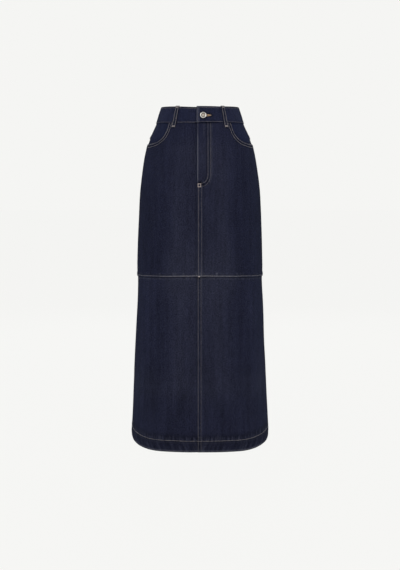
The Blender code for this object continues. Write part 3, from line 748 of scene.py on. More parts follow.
def finishQuarter(name, nodeName, grid, flags, seed):
    face, side, angle, height = grid["face"], grid["side"], grid["angle"], grid["height"]
    across = np.tan(np.minimum(grid["fromCentre"], 1.2)) * depthAt(face, height)
    over = side > 0
    fromEdge = across - (skirt["overEdge"] if over else skirt["underEdge"])
    points = onSkirt(angle, height)
    along = lengthsAlong(points)
    toSide = along[:, -1:] - along
    lapped = ramp(across, skirt["lapFlat"] + skirt["lapEase"], skirt["lapFlat"])
    nearTier = ramp(height, *edges["nearTier"])
    lift = np.zeros_like(angle)
    thick = np.full_like(angle, skirt["cloth"])
    tones = {label: np.zeros_like(angle) for label in ("wearAndHighlight", "fade", "deep")}

    def shade(label, distance, wave=0.0, share=1.0):
        for tone, strength, waved, place, halfWidth in toneLines[label]:
            tones[tone] += (strength + waved * wave) * share * hump(distance - place, halfWidth)

    def groove(distance, share=1.0):
        return share * rows["groove"] * hump(distance, rows["grooveWidth"])

    def foldOver(distance, radius=edges["radius"]):
        # the cloth rolls in at a folded or sewn edge
        nonlocal lift, thick
        lift = lift - rounded(distance, radius)
        thick = thick - 1.3 * rounded(distance, radius)

    if over:
        # the folded edge of the lap, with the layer turned under it
        felledRows = rows["felled"]["lower" if "Lower" in name else "upper"]
        felled = ramp(height, rows["flyTack"] + 0.004, rows["flyTack"] - 0.004) if "fly" in flags else 1.0
        ridge = edges["ridge"] * (1 - ramp(fromEdge, edges["ridgeReach"], edges["ridgeReach"] * 1.5))
        wave = puckers("lap", height, fromEdge, seed)
        lift += ridge * (0.75 + 0.35 * felled * wave)
        thick += ridge
        for row in felledRows:
            lift -= groove(fromEdge - row, felled)
        foldOver(fromEdge)
        # the pale fold edge is partly wear and partly a painted highlight; the deep lines are painted shade
        # between the rows and beside the inner one
        shade("lapFold", fromEdge, share=felled)
        shade("lapMiddle", fromEdge - sum(felledRows) / 2, wave, felled)
        shade("lapInner", fromEdge - felledRows[1], share=felled)
        if "tierBottom" in flags:
            shade("lapInnerShade", fromEdge - felledRows[1], share=felled)
            shade("overAtTier", fromEdge, share=nearTier)
    else:
        lift -= skirt["lapDrop"] * lapped
        if "tierBottom" in flags:
            pastFold = across + skirt["overEdge"]
            # painted shadow of the lap's folded edge on the panel under it; wear where it nears the tier seam
            shade("underShade", pastFold, share=1 - nearTier)
            shade("underAtTier", pastFold, share=nearTier)
    if "tierTop" in flags or "yokeTop" in flags:
        seam = tierSeam(angle) if "tierTop" in flags else yokeSeam(angle)
        lift -= skirt["lapDrop"] * ramp(height, seam - skirt["tuckEase"], seam - 0.0003)
        lift -= skirt["lapDrop"] * lapped * ramp(height, seam - skirt["tuck"], seam)
        # inside the piece above, the edge stands out until it meets it, so no light comes between the two
        otherEdge = -(skirt["underEdge"] if over else skirt["overEdge"])
        beyond = skirt["lapDrop"] * lapped * ramp(across, otherEdge + 0.0004, otherEdge + 0.0016)
        standsOut = (edges["tuckLift"] + beyond) * ramp(height, seam + 0.0030, seam + 0.0080)
        lift += standsOut
        thick += standsOut
        wave = puckers("tucked", along, seam - height, seed)
        lift += 0.5 * edges["pucker"] * wave * ramp(height, seam + 0.002, seam - 0.002)
        # painted shadow along the seam under the piece above, and wear on the puckers there
        shade("tucked", seam - height, wave)
        tones["wearAndHighlight"] += 0.05 * wave * ramp(height, seam, seam - 0.0015)
        # painted shade where the centre seam meets the tier seam
        if face == "front" and "tierTop" in flags:
            shade("crossingShade", seam - height, share=hump(across + side * 0.0030, 0.0042))
    if "tierBottom" in flags or "yokeBottom" in flags:
        seam = tierSeam(angle) if "tierBottom" in flags else yokeSeam(angle)
        fromSeam = height - seam
        ridge = edges["ridge"] * (1 - ramp(fromSeam, 0.0085, 0.0125))
        wave = puckers("folded", along, fromSeam, seed)
        lift += ridge * 0.8 + edges["pucker"] * wave
        thick += ridge
        for row in ((tierRow(angle),) if "tierBottom" in flags else rows["yoke"]):
            lift -= groove(fromSeam - row)
        foldOver(fromSeam)
        # the layer turned under ends here, and the cloth is rubbed in short ticks over its edge
        inner = ramp(np.abs(np.sin(angle)), 0.95, 0.35)
        shade("ticks", fromSeam, inner, wave ** 1.4)
        # painted shade along the fold and beside its row; the pale lines are wear
        shade("folded", fromSeam)
        shade("besideRow", fromSeam - tierRow(angle), inner)
        tones["wearAndHighlight"] += 0.09 * wave * ramp(fromSeam, 0.0070, 0.0090)
    if "hem" in flags:
        fromHem = height - hemEdge(angle)
        turnedUp = skirt["hemTurnUp"]
        hemLayer = ramp(fromHem, turnedUp + 0.0020, turnedUp)
        thick += edges["hemLayer"] * hemLayer * (1 - lapped if over else 1.0)
        rope = puckers("hem", along, fromHem, seed)
        lift += edges["rope"] * (rope - 0.35) * hump(fromHem - 0.013, 0.013) + 0.0003 * hemLayer
        above = puckers("aboveHem", along, np.abs(fromHem - turnedUp), seed)
        lift += 0.6 * edges["pucker"] * above * ramp(fromHem, turnedUp - 0.002, turnedUp + 0.002)
        lift -= edges["hemTuckIn"] * ramp(fromHem, 0.026, 0.0) ** 1.5
        lift -= groove(fromHem - rows["hem"], 1.3)
        foldOver(fromHem, edges["hemRadius"])
        # painted shade along the bottom edge, on the turned-up layer between its puckers and above its top;
        # the pale lines are wear
        shade("hem", fromHem, rope)
        shade("hemTop", turnedUp - fromHem, rope)
        shade("aboveHem", fromHem - turnedUp, (1 - above) ** 2)
        tones["wearAndHighlight"] += 0.23 * above * ramp(fromHem, turnedUp, turnedUp + 0.002)
        tones["deep"] += hemLayer * (0.02 + 0.28 * (1 - rope))
    if "mouth" in flags:
        fromMouth = distanceTo(points, onSkirt(*mouthPath(0.0, side)))
        ridge = edges["ridge"] * (1 - ramp(fromMouth, 0.0100, 0.0140))
        wave = puckers("mouth", along + height, fromMouth, seed)
        lift += 0.6 * ridge + 0.25 * edges["pucker"] * wave
        thick += 0.8 * ridge
        for row in rows["mouth"]:
            lift -= groove(fromMouth - row)
        foldOver(fromMouth)
        # the mouth's pale fold edge is partly wear and partly a painted highlight; painted shade lies beside
        # its rows
        shade("mouth", fromMouth)
        # painted shadow under the feet of the front belt loops
        fromFoot = (np.abs(angle) - math.radians(rows["loopFootTurn"])) * rows["loopFootRadius"]
        shade("loopFootShadow", fromFoot, share=hump(height - rows["loopFootShadow"], 0.0016))
    if "fly" in flags:
        innerRow, outerRow = (distanceTo(points, onSkirt(*flyPath(row))) for row in (0, 1))
        lift -= groove(innerRow) + groove(outerRow)
        wave = puckers("fly", height, outerRow, seed)
        inside = ramp(across, rows["flyStraight"][0], rows["flyStraight"][0] - 0.001)
        # painted shade between and inside the fly's rows and above its tack; the pale lines are wear
        shade("shadeBetweenFlyRows", innerRow, share=hump(outerRow - 0.0032, 0.0022))
        shade("shadeInsideFly", innerRow, share=inside)
        shade("flyMiddle", across, share=ramp(height, -0.072, -0.048))
        shade("shadowAboveFlyTack", height - rows["flyTack"], share=hump(across + 0.0014, 0.0050))
        shade("flyOuterRow", outerRow, wave, ramp(across, *rows["flyStraight"]))
        shade("flyInnerRow", innerRow, wave)
        # the fly's pale fold edge is partly wear and partly a painted highlight
        flyEdge = ramp(height, rows["flyTack"], rows["flyTack"] + 0.020)
        shade("flyFold", fromEdge, share=flyEdge * (0.45 + 0.55 * ramp(height, -0.052, -0.066)))
        lift += 0.00035 * ramp(across, 0.0300, 0.0240) * ramp(height, -0.196, -0.184)
    if "mouth" in flags or "yokeBottom" in flags:
        # painted shadow under the waistband's lower edge
        shade("shadowUnderBand", bandBottom(angle) - height)
    # the panels turn in where the side seams join them
    lift -= rounded(toSide, edges["sideRadius"])
    thick = np.maximum(thick, 0.0004)
    lift += 0.00020 * puckers("side", height, toSide, seed)
    shade("side", toSide)
    addPaintedShadeAndFade(tones, across, height, creaseDepth(angle, height))
    outer = onSkirt(angle, height, lift)
    inner = onSkirt(angle, height, lift - thick)
    piece = sewShell(name, outer, inner, tones, panelDenim)
    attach(piece, "root")
    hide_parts(nodeName)
    return piece


def addPaintedShadeAndFade(tones, across, height, crease):
    # creases are darkened with painted shade and ridges made paler with painted light, both partly wear; the
    # cloth is paler down the middle and on the thighs and less so at the sides, which get painted shade
    middle = ramp(across, 0.125, 0.045)
    upperPart = ramp(height, -0.44, -0.42)
    tones["deep"] += denim["creaseShade"] * np.maximum(crease, 0.0)
    # painted shade: the sides darker, where the cloth turns away from the front lamps
    tones["deep"] += 0.10 * upperPart * ramp(across, 0.095, 0.140) + 0.04 * ramp(across, 0.110, 0.150)
    tones["fade"] += denim["ridgeLight"] * denim["creaseShade"] * np.maximum(-crease, 0.0)
    tones["fade"] += 0.70 * middle * upperPart * ramp(height, -0.05, -0.10)
    tones["fade"] += 0.45 * hump(across, 0.040) * hump(height + 0.105, 0.045)
    # painted light about the tier seam, away from the sides
    tones["fade"] += 0.95 * hump(height + 0.415, 0.060) * ramp(across, 0.150, 0.080)
    tones["fade"] += 0.55 * hump(height + 0.715, 0.038)
    tones["fade"] += 0.30 * hump(across - 0.066, 0.020) * hump(height + 0.350, 0.120)
    tones["fade"] += 0.80 * middle * (1 - upperPart) * ramp(height, -0.82, -0.62) + 0.20 * (1 - upperPart)
    # painted highlight on the sides of the lower tier, where they catch the side lamps
    tones["fade"] += 0.15 * ramp(across, 0.130, 0.165) * hump(height + 0.740, 0.100)


def girth(height):
    points = onSkirt(np.linspace(0, 2 * math.pi, 720), height)
    return float(np.linalg.norm(np.diff(points, axis=0), axis=-1).sum())


def sharesDown(length, radius, *spacing):
    return roundedEnd(stations(length, *spacing), length, radius)


coarse, fine = quarterSize["rowStep"], quarterSize["fineStep"]
lowerShares = sharesDown(0.465, edges["hemRadius"], coarse, fine, 0.026, fine, 0.050)
backUpperShares = sharesDown(0.345, edges["radius"], coarse, fine, 0.026, fine, 0.026)
yokeShares = sharesDown(0.078, edges["radius"], 0.0028, 0.0022, 0.004, 0.0018, 0.020)

panels = {}
for side, word, seed in ((1, "Left", 100), (-1, "Right", 200)):
    lower = (side, tierSeam, hemEdge, True, lowerShares)
    yoke = (side, bandBottom, yokeSeam, False, yokeShares)
    backUpper = (side, yokeSeam, tierSeam, True, backUpperShares)
    parts = [
        ("frontUpper", "front_upper_", frontUpperGrid(side), ["mouth", "tierBottom"] + ["fly"] * (side > 0)),
        ("frontLower", "front_lower_", quarterGrid("front", *lower), ["tierTop", "hem"]),
        ("backYoke", "back_yoke_", quarterGrid("back", *yoke), ["yokeBottom"]),
        ("backUpper", "back_upper_", quarterGrid("back", *backUpper), ["yokeTop", "tierBottom"]),
        ("backLower", "back_lower_", quarterGrid("back", *lower), ["tierTop", "hem"]),
    ]
    for number, (part, nodeStart, grid, flags) in enumerate(parts, 1):
        name = part + word
        panels[name] = finishQuarter(name, nodeStart + word.lower(), grid, flags, seed + number * 10)
print("panels sewn:", len(panels))

facing = {
    "underlap": 7,            # degrees that it runs on under the front panel
    "underlapDrop": 0.0120,
    "inset": 0.0028,
    "open": 0.0017,           # how much of that it loses where the mouth is open
    "endShare": 0.97,
    "columns": 64,
    "rows": 44,
    "radius": 0.135,          # of the hip, which turns an angle into a distance from the side seam
}


def addFacing(side, word):
    # the hip piece that shows inside the pocket's mouth
    first = math.radians(skirt["mouthStart"] - facing["underlap"])
    reach = (sideSeam - first) / facing["endShare"]
    fromCentre = np.linspace(sideSeam, first, facing["columns"])[None, :]
    power = skirt["mouthSquareness"]
    part = (sideSeam - fromCentre) / reach
    drop = (skirt["mouthDrop"] + facing["underlapDrop"]) * (1 - part ** power) ** (1 / power)
    down = np.linspace(0, 1, facing["rows"])[:, None]
    angle = side * fromCentre + 0 * down
    above = quarterSize["above"]
    height = bandBottom(angle) + above - (drop + above) * down
    fromMouth = distanceTo(onSkirt(angle, height), onSkirt(*mouthPath(0.0, side)))
    isOpen = height > mouthEdge(angle)
    inset = facing["inset"] - facing["open"] * ramp(fromMouth, 0.006, 0.030) * isOpen
    # its top edge goes up into the band
    inset = inset * ramp(height, bandBottom(angle) + above, bandBottom(angle))
    toSide = (sideSeam - fromCentre) * facing["radius"] + 0 * height
    lift = -inset - rounded(toSide, edges["sideRadius"])
    lift = lift + 0.00025 * puckers("facing", height + 0 * angle, toSide, side)
    # painted shadow of the mouth's edge on the facing, and painted light paling it further in; the pale line
    # at the side seam is wear
    tones = {
        "wearAndHighlight": 0.08 * hump(toSide, 0.0016),
        "fade": 0.55 * ramp(fromMouth, 0.004, 0.022) * isOpen,
        "deep": 0.40 * hump(fromMouth, 0.0032),
    }
    outer = onSkirt(angle, height, lift)
    inner = onSkirt(angle, height, lift - skirt["cloth"])
    piece = sewShell("pocketFacing" + word, outer, inner, tones, facingDenim)
    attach(piece, "root")
    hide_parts("pocket_facing_" + word.lower())
    return piece


panels["pocketFacingLeft"] = addFacing(1, "Left")
panels["pocketFacingRight"] = addFacing(-1, "Right")

band = {
    "proud": 0.0013, "thickness": 0.0030, "gap": 0.0003,
    "overEnd": -0.0090,       # where the button end stops, across the front
    "underEnd": 0.0330,
    "liftEnd": 0.0520, "liftStart": 0.0350,
    "columnStep": 0.0019,
    "radius": 0.0012,
    "pucker": 0.00030,
    "groove": 0.00020, "grooveWidth": 0.0012,
}
button = {
    "across": 0.0079, "height": -0.0060, "sides": 72, "rim": 0.0085,
    # radius, height above the band, how aged the metal is there
    "profile": [
        (0.0000, 0.00215, 0.55),
        (0.0012, 0.00205, 0.65),
        (0.0024, 0.00190, 0.80),
        (0.0034, 0.00190, 0.85),
        (0.0042, 0.00205, 0.80),
        (0.0049, 0.00240, 0.80),
        (0.0054, 0.00290, 0.65),
        (0.0058, 0.00345, 0.30),
        (0.0063, 0.00375, 0.05),
        (0.0069, 0.00385, 0.00),
        (0.0075, 0.00375, 0.00),
        (0.0080, 0.00340, 0.20),
        (0.0084, 0.00285, 0.60),
        (0.0085, 0.00225, 0.85),
        (0.0084, 0.00160, 0.90),
        (0.0080, 0.00105, 0.50),
        (0.0073, 0.00065, 0.70),
        (0.0064, 0.00045, 0.80),
        (0.0040, 0.00030, 0.80),
        (0.0027, 0.00028, 0.80),
        (0.0026, -0.00310, 0.80),
        (0.0000, -0.00320, 0.80),
    ],
}
buttonhole = {
    "eye": 0.0036, "slotHalf": 0.0009, "end": 0.0200,
    "taper": 0.85,            # how much narrower the slot and its stitches are at the tip
    "stitch": 0.0030, "pitch": 0.00048, "thread": 0.00030,
}
bandLift = band["thickness"] + band["gap"]
waistDepth = float(depthAt("front", np.array([0.0]))[0])
overTurn = math.atan2(band["overEnd"], waistDepth)
underTurn = 2 * math.pi + math.atan2(band["underEnd"], waistDepth)


def bandHeight(turn, share):
    # share 0 is the lower edge and 1 the top; the two ends don't quite line up
    fromEnd = np.minimum(turn, 2 * math.pi - turn)
    stagger = skirt["bandTopStagger"] * ramp(fromEnd, sideSeam / 2, 0.0) * np.where(turn < math.pi, 1, -1)
    return bandBottom(turn) * (1 - share) + (bandTop(turn) + stagger) * share


def bandOffset(turn):
    across = bare(turn, np.zeros_like(turn))[..., 0]
    lifted = bandLift * ramp(across, band["liftEnd"], band["liftStart"])
    return band["proud"] + np.where(turn > sideSeam, 0.0, lifted)


def closureDistance(across, height):
    # from the button's rim or from the stitches round its hole, whichever is nearer
    fromButton = np.hypot(across - button["across"], height - button["height"])
    alongSlot = np.clip(across - button["across"], 0.0, buttonhole["end"])
    fromSlot = np.hypot(across - button["across"] - alongSlot, height - button["height"])
    return np.minimum(fromButton - button["rim"], fromSlot - buttonhole["stitch"]) + buttonShadow["away"]


def addBand():
    length = girth(0.0) * (underTurn - overTurn) / (2 * math.pi)
    even = stations(length, band["columnStep"], band["columnStep"], 0.01, band["columnStep"], 0.01)
    close = np.array([0.0, 0.0002, 0.0005, 0.0009]) / length
    share = np.concatenate((close, even[1:-1], 1 - close[::-1]))
    turn = (overTurn + (underTurn - overTurn) * share)[None, :]
    up = np.concatenate(([0, 0.005, 0.014, 0.026], np.linspace(0.045, 0.955, 22), [0.974, 0.986, 0.995, 1]))
    up = up[:, None]
    height = bandHeight(turn, up)
    turn = turn + 0 * up
    width = bandHeight(turn, 1.0) - bandHeight(turn, 0.0)
    fromTop, fromBottom = (1 - up) * width, up * width
    points = onSkirt(turn, height)
    across = points[..., 0]
    along = lengthsAlong(points)
    toEnd = np.minimum(along, along[:, -1:] - along)
    edgeRound = sum(rounded(distance, band["radius"]) for distance in (fromTop, fromBottom, toEnd))
    fromRows = (fromTop - rows["bandTop"], fromBottom - rows["bandBottom"], along - rows["bandEnd"])
    lift = bandOffset(turn) - edgeRound
    lift = lift - band["groove"] * sum(hump(distance, band["grooveWidth"]) for distance in fromRows)
    lowWave = puckers("bandFoot", along, fromBottom)
    topWave = puckers("bandTop", along, fromTop)
    lift = lift + band["pucker"] * (lowWave + topWave)
    thick = np.maximum(band["thickness"] - 2 * edgeRound, 0.0003)
    # just past the end that lies under it, the inner layer's foot comes back to the panels
    lifted = bandOffset(turn) - band["proud"]
    pastUnder = ramp(across, band["underEnd"] + 0.0002, band["underEnd"] + 0.0014) * (turn < sideSeam)
    thick = thick + lifted * pastUnder * ramp(fromBottom, 0.012, 0.006)
    rubbedTop = ramp(turn, 0.85, 0.70)
    wearAndHighlight = 0.12 * rubbedTop * hump(fromTop - 0.0006, 0.0012) + 0.18 * hump(along, 0.0011)
    wearAndHighlight = wearAndHighlight + 0.06 * (lowWave + topWave) + 0.24 * ramp(along, 0.0088, 0.0068)
    # the button end is pale, and beside it the end under it gets a painted shadow
    endShadow = hump(across - band["overEnd"] + 0.0012, 0.0016) * (turn > math.pi)
    tones = {
        "wearAndHighlight": wearAndHighlight,
        # painted light makes the band paler towards its sides
        "fade": 0.70 * ramp(np.abs(np.sin(turn)), 0.70, 0.95) + 0.35 * hump(along - 0.006, 0.006),
        # painted shade beside the lower row, along the lower edge, along the top edge except at the front of
        # the wearer's left, and the end's painted shadow
        "deep": 0.22 * hump(fromBottom - 0.0052, 0.0018) + 0.60 * hump(fromBottom, 0.0010)
        + 0.90 * (1 - rubbedTop) * hump(fromTop, 0.0022) + 0.45 * endShadow,
        # where the painted shadow round the button and its hole falls
        "buttonShadow": closureDistance(across, height) + (turn > 1.0),
    }
    outer = onSkirt(turn, height, lift)
    inner = onSkirt(turn, height, lift - thick)
    return sewShell("waistBand", outer, inner, tones, bandDenim, 65, straight=True)


waistband = addBand()
print("waistband made")


def shellTree(piece):
    places = [vertex.co.copy() for vertex in piece.data.vertices]
    return BVHTree.FromPolygons(places, [tuple(face.vertices) for face in piece.data.polygons])


trees = {name: shellTree(piece) for name, piece in panels.items() if "Facing" not in name}
trees["waistband"] = shellTree(waistband)


def landOn(treeName, angle, height):
    # where lines from outside, square to the skirt, meet a piece, and which way it faces there
    angle, height = np.broadcast_arrays(angle, height)
    starts = onSkirt(angle, height, 0.02)
    ways = -outwardAt(angle.astype(float), height.astype(float))
    places, normals = [], []
    for start, way in zip(starts, ways):
        place, normal = trees[treeName].ray_cast(Vector(start), Vector(way), 0.06)[:2]
        if place is not None:
            places.append(place)
            normals.append(normal)
    return places, normals


def meshFrom(name, shape):
    mesh = bpy.data.meshes.new(name)
    shape.to_mesh(mesh)
    shape.free()
    return mesh


def addButton():
    turn = math.atan2(button["across"], waistDepth)
    places, normals = landOn("waistband", np.array([turn]), np.array([button["height"]]))
    out = normals[0]
    side = Vector((0, 0, 1)).cross(out).normalized()
    stand = Matrix((side, out.cross(side), out)).transposed()
    sides = button["sides"]
    shape = bmesh.new()
    layer = shape.verts.layers.float.new("aged")
    rings = []
    for radius, rise, aged in button["profile"]:
        ring = []
        for step in range(sides if radius else 1):
            around = 2 * math.pi * step / sides
            local = Vector((radius * math.cos(around), radius * math.sin(around), rise))
            vertex = shape.verts.new(places[0] + stand @ local)
            vertex[layer] = aged
            ring.append(vertex)
        rings.append(ring)
    for upper, lower in zip(rings, rings[1:]):
        for step in range(sides):
            after = (step + 1) % sides
            if len(upper) == 1:
                shape.faces.new((upper[0], lower[step], lower[after]))
            elif len(lower) == 1:
                shape.faces.new((upper[step], lower[0], upper[after]))
            else:
                shape.faces.new((upper[step], lower[step], lower[after], upper[after]))
    bmesh.ops.recalc_face_normals(shape, faces=shape.faces)
    mesh = meshFrom("shankButton", shape)
    mesh.shade_smooth()
    mesh.set_sharp_from_angle(angle=math.radians(60))
    mesh.materials.append(nickelMaterial())
    piece = addObject("shankButton", mesh)
    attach(piece, "root")
    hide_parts("button")


addButton()


def keyhole(grow):
    # once round the hole: distance from the eye's centre, height, and how far along the slot each point is
    radius, half, end = buttonhole["eye"] + grow, buttonhole["slotHalf"], buttonhole["end"]
    turn = np.linspace(math.pi, math.asin((half + grow) / radius), 24)
    slot = np.linspace(radius * math.cos(turn[-1]) + 0.001, end, 24)
    part = np.linspace(0, 1, 24)
    x = np.concatenate((radius * np.cos(turn), slot, [end + grow * 0.5]))
    z = np.concatenate((radius * np.sin(turn), (half + grow) * (1 - buttonhole["taper"] * part), [0.0]))
    part = np.concatenate((np.zeros(24), part, [1.0]))
    return tuple(np.concatenate(halves) for halves in ((x, x[-2::-1]), (z, -z[-2::-1]), (part, part[-2::-1])))


def cutButtonhole():
    x, z = keyhole(0.0)[:2]
    angle = np.arctan2(button["across"] + x, waistDepth)
    height = button["height"] + z
    top = onSkirt(angle, height, band["proud"] + bandLift + 0.003)
    low = onSkirt(angle, height, band["proud"] + band["gap"] / 2)
    shape = bmesh.new()
    outerRing = [shape.verts.new(place) for place in top[:-1]]
    innerRing = [shape.verts.new(place) for place in low[:-1]]
    count = len(outerRing)
    for step in range(count):
        after = (step + 1) % count
        shape.faces.new((outerRing[step], outerRing[after], innerRing[after], innerRing[step]))
    shape.faces.new(outerRing)
    shape.faces.new(innerRing[::-1])
    bmesh.ops.recalc_face_normals(shape, faces=shape.faces)
    bmesh.ops.triangulate(shape, faces=[face for face in shape.faces if len(face.verts) > 4])
    cutter = addObject("holeCutter", meshFrom("holeCutter", shape))
    cut = waistband.modifiers.new("buttonhole", "BOOLEAN")
    cut.operation = "DIFFERENCE"
    cut.solver = "EXACT"
    cut.object = cutter
    shown = waistband.evaluated_get(bpy.context.evaluated_depsgraph_get())
    pierced = bpy.data.meshes.new_from_object(shown)
    waistband.modifiers.clear()
    waistband.data = pierced
    bpy.data.objects.remove(cutter)


cutButtonhole()
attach(waistband, "root")
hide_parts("waistband")

loop = {
    "width": 0.0110, "thickness": 0.0020, "foot": -0.0370, "arch": 0.0012, "head": 0.0016,
    "step": (0.0070, 0.0005), "gap": 0.0003,
    "folded": 0.0075,         # length at each end where it is folded double
    "foldExtra": 0.0007,
    "tackHalf": 0.0034, "tackRow": 0.0036,
    # name, node, degrees round from centre front at the foot, how far the head leans on round from there
    "places": [
        ("beltLoopFrontLeft", "belt_loop_front_left", 41.8, -0.0020),
        ("beltLoopFrontRight", "belt_loop_front_right", -41.7, 0.0026),
        ("beltLoopBackLeft", "belt_loop_back_left", 132.0, 0.0010),
        ("beltLoopBackRight", "belt_loop_back_right", -132.0, -0.0014),
        ("beltLoopBackCentre", "belt_loop_back_centre", 180.0, 0.0006),
    ],
}


def addLoop(name, nodeName, degrees, lean):
    centre = math.radians(degrees)
    radius = float(np.linalg.norm(bare(np.array(centre), np.array(0.0))[:2]))
    half = loop["width"] / 2 / radius
    top = heightOf(bandTop, centre) + loop["head"]
    bottom = loop["foot"]
    low, high = (heightOf(bandBottom, centre) - drop for drop in loop["step"])
    side = np.sin(np.linspace(-sideSeam, sideSeam, 27))[None, :]
    down = (1 - np.cos(np.linspace(0, math.pi, 13))) / 2
    down = np.concatenate((down[:5] * 0.10, np.linspace(0.05, 0.95, 46), 1 - down[:5][::-1] * 0.10))
    down = np.unique(np.round(down, 5))[:, None]
    height = top * (1 - down) + bottom * down + 0 * side
    angle = centre + lean / radius * (1 - down) + half * side
    fromEnds = top - height, height - bottom
    clearance = loop["gap"] + band["proud"] * ramp(height, low, high)
    base = clearance + loop["arch"] * np.sin(math.pi * down)
    folded = sum(ramp(distance, loop["folded"] * 1.3, loop["folded"]) for distance in fromEnds)
    fold = loop["foldExtra"] * folded
    squeezed = 0.5 * sum(hump(distance - loop["tackRow"], 0.0016) for distance in fromEnds)
    edgeRound = (1 - np.abs(side) ** 7) ** (1 / 4)
    endRound = np.sqrt(np.clip(1 - (1 - np.minimum(*fromEnds) / 0.0012).clip(0) ** 2, 0, 1))
    across = side * loop["width"] / 2
    grooves = hump(np.abs(across) - rows["loop"], 0.0008)
    wave = puckers("loop", height, np.abs(across), int(abs(degrees)))
    body = loop["thickness"] + fold * (1 - squeezed) - 0.00030 * grooves + 0.00018 * wave
    body = np.maximum(body * edgeRound * endRound, 0.00005)
    outer = onSkirt(angle, height, base + body)
    inner = onSkirt(angle, height, base + 0 * body)
    # the loop is darker down its middle, and painted shade darkens its edges
    tones = {
        "wearAndHighlight": 0.10 * wave + 0.25 * hump(fromEnds[0], 0.0014) + 0.5 * hump(fromEnds[1], 0.0014),
        "fade": 0.3,
        "deep": 0.45 * hump(across, 0.0018) + 0.55 * ramp(np.abs(side), 0.80, 0.96),
    }
    piece = sewShell(name, outer, inner, tones, loopDenim, 70)
    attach(piece, "root")
    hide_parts(nodeName)
    trees[name] = shellTree(piece)
    return radius, top, bottom


# stitches: one tree lays them along any line, square to the cloth under it
stitching = {
    "pitch": 0.0032, "length": 0.0026, "thread": 0.00034, "arch": 0.00042, "sink": 0.00030, "turn": 0.0,
    "uneven": 0.055,
}


def stitchTree():
    tree = bpy.data.node_groups.new("stitching", "GeometryNodeTree")
    taken = [("Line", "Geometry"), *((label, "Float") for label in stitching), ("seed", "Int"),
             ("thread finish", "Material")]
    for label, kind in taken:
        tree.interface.new_socket(label, in_out="INPUT", socket_type="NodeSocket" + kind)
    tree.interface.new_socket("Stitches", in_out="OUTPUT", socket_type="NodeSocketGeometry")
    given = tree.nodes.new("NodeGroupInput").outputs

    def geometry(kind, inputs=None, **settings):
        return node(tree, "GeometryNode" + kind, inputs, **settings)

    def vector(**parts):
        return node(tree, "ShaderNodeCombineXYZ", parts)

    def times(label, factor):
        return calc(tree, "MULTIPLY", given[label], factor)

    def onLine(label, kind="FLOAT"):
        return geometry("InputNamedAttribute", {"Name": label}, data_type=kind)

    def chance(low, high):
        limits = {2: low, 3: high, "Seed": given["seed"]}
        return node(tree, "FunctionNodeRandomValue", limits, 1, data_type="FLOAT")

    line = geometry("MeshToCurve", {"Mesh": given["Line"]})
    line = geometry("ResampleCurve", {"Curve": line, "Length": given["pitch"]}, mode="LENGTH")
    down = times("sink", -1.0)
    bow = geometry("CurveQuadraticBezier", {
        "Resolution": 4, "Start": vector(X=times("length", -0.5), Z=down),
        "Middle": vector(Z=times("arch", 2.0)), "End": vector(X=times("length", 0.5), Z=down)})
    ring = geometry("CurvePrimitiveCircle", {"Resolution": 6, "Radius": given["thread"]})
    stitch = geometry("CurveToMesh", {"Curve": bow, "Profile Curve": ring, "Fill Caps": True})
    stand = node(tree, "FunctionNodeAxesToRotation", {
        "Primary Axis": onLine("outward", "FLOAT_VECTOR"), "Secondary Axis": geometry("InputTangent")},
        primary_axis="Z", secondary_axis="X")
    slip = chance(times("uneven", -1.0), given["uneven"])
    spin = node(tree, "FunctionNodeEulerToRotation", {0: vector(Z=calc(tree, "ADD", given["turn"], slip))})
    stand = node(tree, "FunctionNodeRotateRotation", {0: stand, 1: spin}, rotation_space="LOCAL")
    size = calc(tree, "MULTIPLY", calc(tree, "ADD", slip, 1.0), onLine("size"))
    laid = geometry("InstanceOnPoints", {"Points": line, "Instance": stitch, "Rotation": stand,
                                         "Scale": vector(X=size, Y=1.0, Z=1.0)})
    tone = calc(tree, "ADD", chance(-0.25, 0.10), onLine("pale"))
    laid = geometry("StoreNamedAttribute", {"Geometry": laid, "Name": "tone", "Value": tone},
                    data_type="FLOAT", domain="INSTANCE")
    laid = geometry("RealizeInstances", {"Geometry": laid})
    laid = geometry("SetShadeSmooth", {"Geometry": laid})
    laid = geometry("SetMaterial", {"Geometry": laid, "Material": given["thread finish"]})
    tree.links.new(laid, tree.nodes.new("NodeGroupOutput").inputs[0])
    return tree


stitchingTree = stitchTree()


def sew(name, lines, material, seed, **changes):
    # each line has a piece's name, angles, heights and, where not 1, how pale and how large its stitches are
    points, normals, links, pale, size = [], [], [], [], []
    for treeName, angle, height, *finish in lines:
        places, ways = landOn(treeName, angle, height)
        start, count = len(points), len(places)
        points += places
        normals += ways
        links += [(start + step, start + step + 1) for step in range(count - 1)]
        paleness, scale = (*finish, 1.0, 1.0)[:2]
        pale += list(np.broadcast_to(paleness, count))
        size += list(np.broadcast_to(scale, count))
    mesh = bpy.data.meshes.new(name)
    mesh.from_pydata(points, links, [])
    mesh.attributes.new("outward", "FLOAT_VECTOR", "POINT")
    mesh.attributes["outward"].data.foreach_set("vector", [value for way in normals for value in way])
    for label, values in (("pale", pale), ("size", size)):
        mesh.attributes.new(label, "FLOAT", "POINT")
        mesh.attributes[label].data.foreach_set("value", np.array(values, np.float32))
    line = addObject(name + "Line", mesh)
    laid = line.modifiers.new("stitches", "NODES")
    laid.node_group = stitchingTree
    values = {**stitching, **changes, "seed": seed, "thread finish": material}
    for socket in stitchingTree.interface.items_tree:
        if socket.in_out == "INPUT" and socket.name in values:
            laid[socket.identifier] = values[socket.name]
    shown = line.evaluated_get(bpy.context.evaluated_depsgraph_get())
    mesh = bpy.data.meshes.new_from_object(shown)
    line.modifiers.clear()
    bpy.data.objects.remove(line)
    piece = addObject(name, mesh)
    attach(piece, "root")


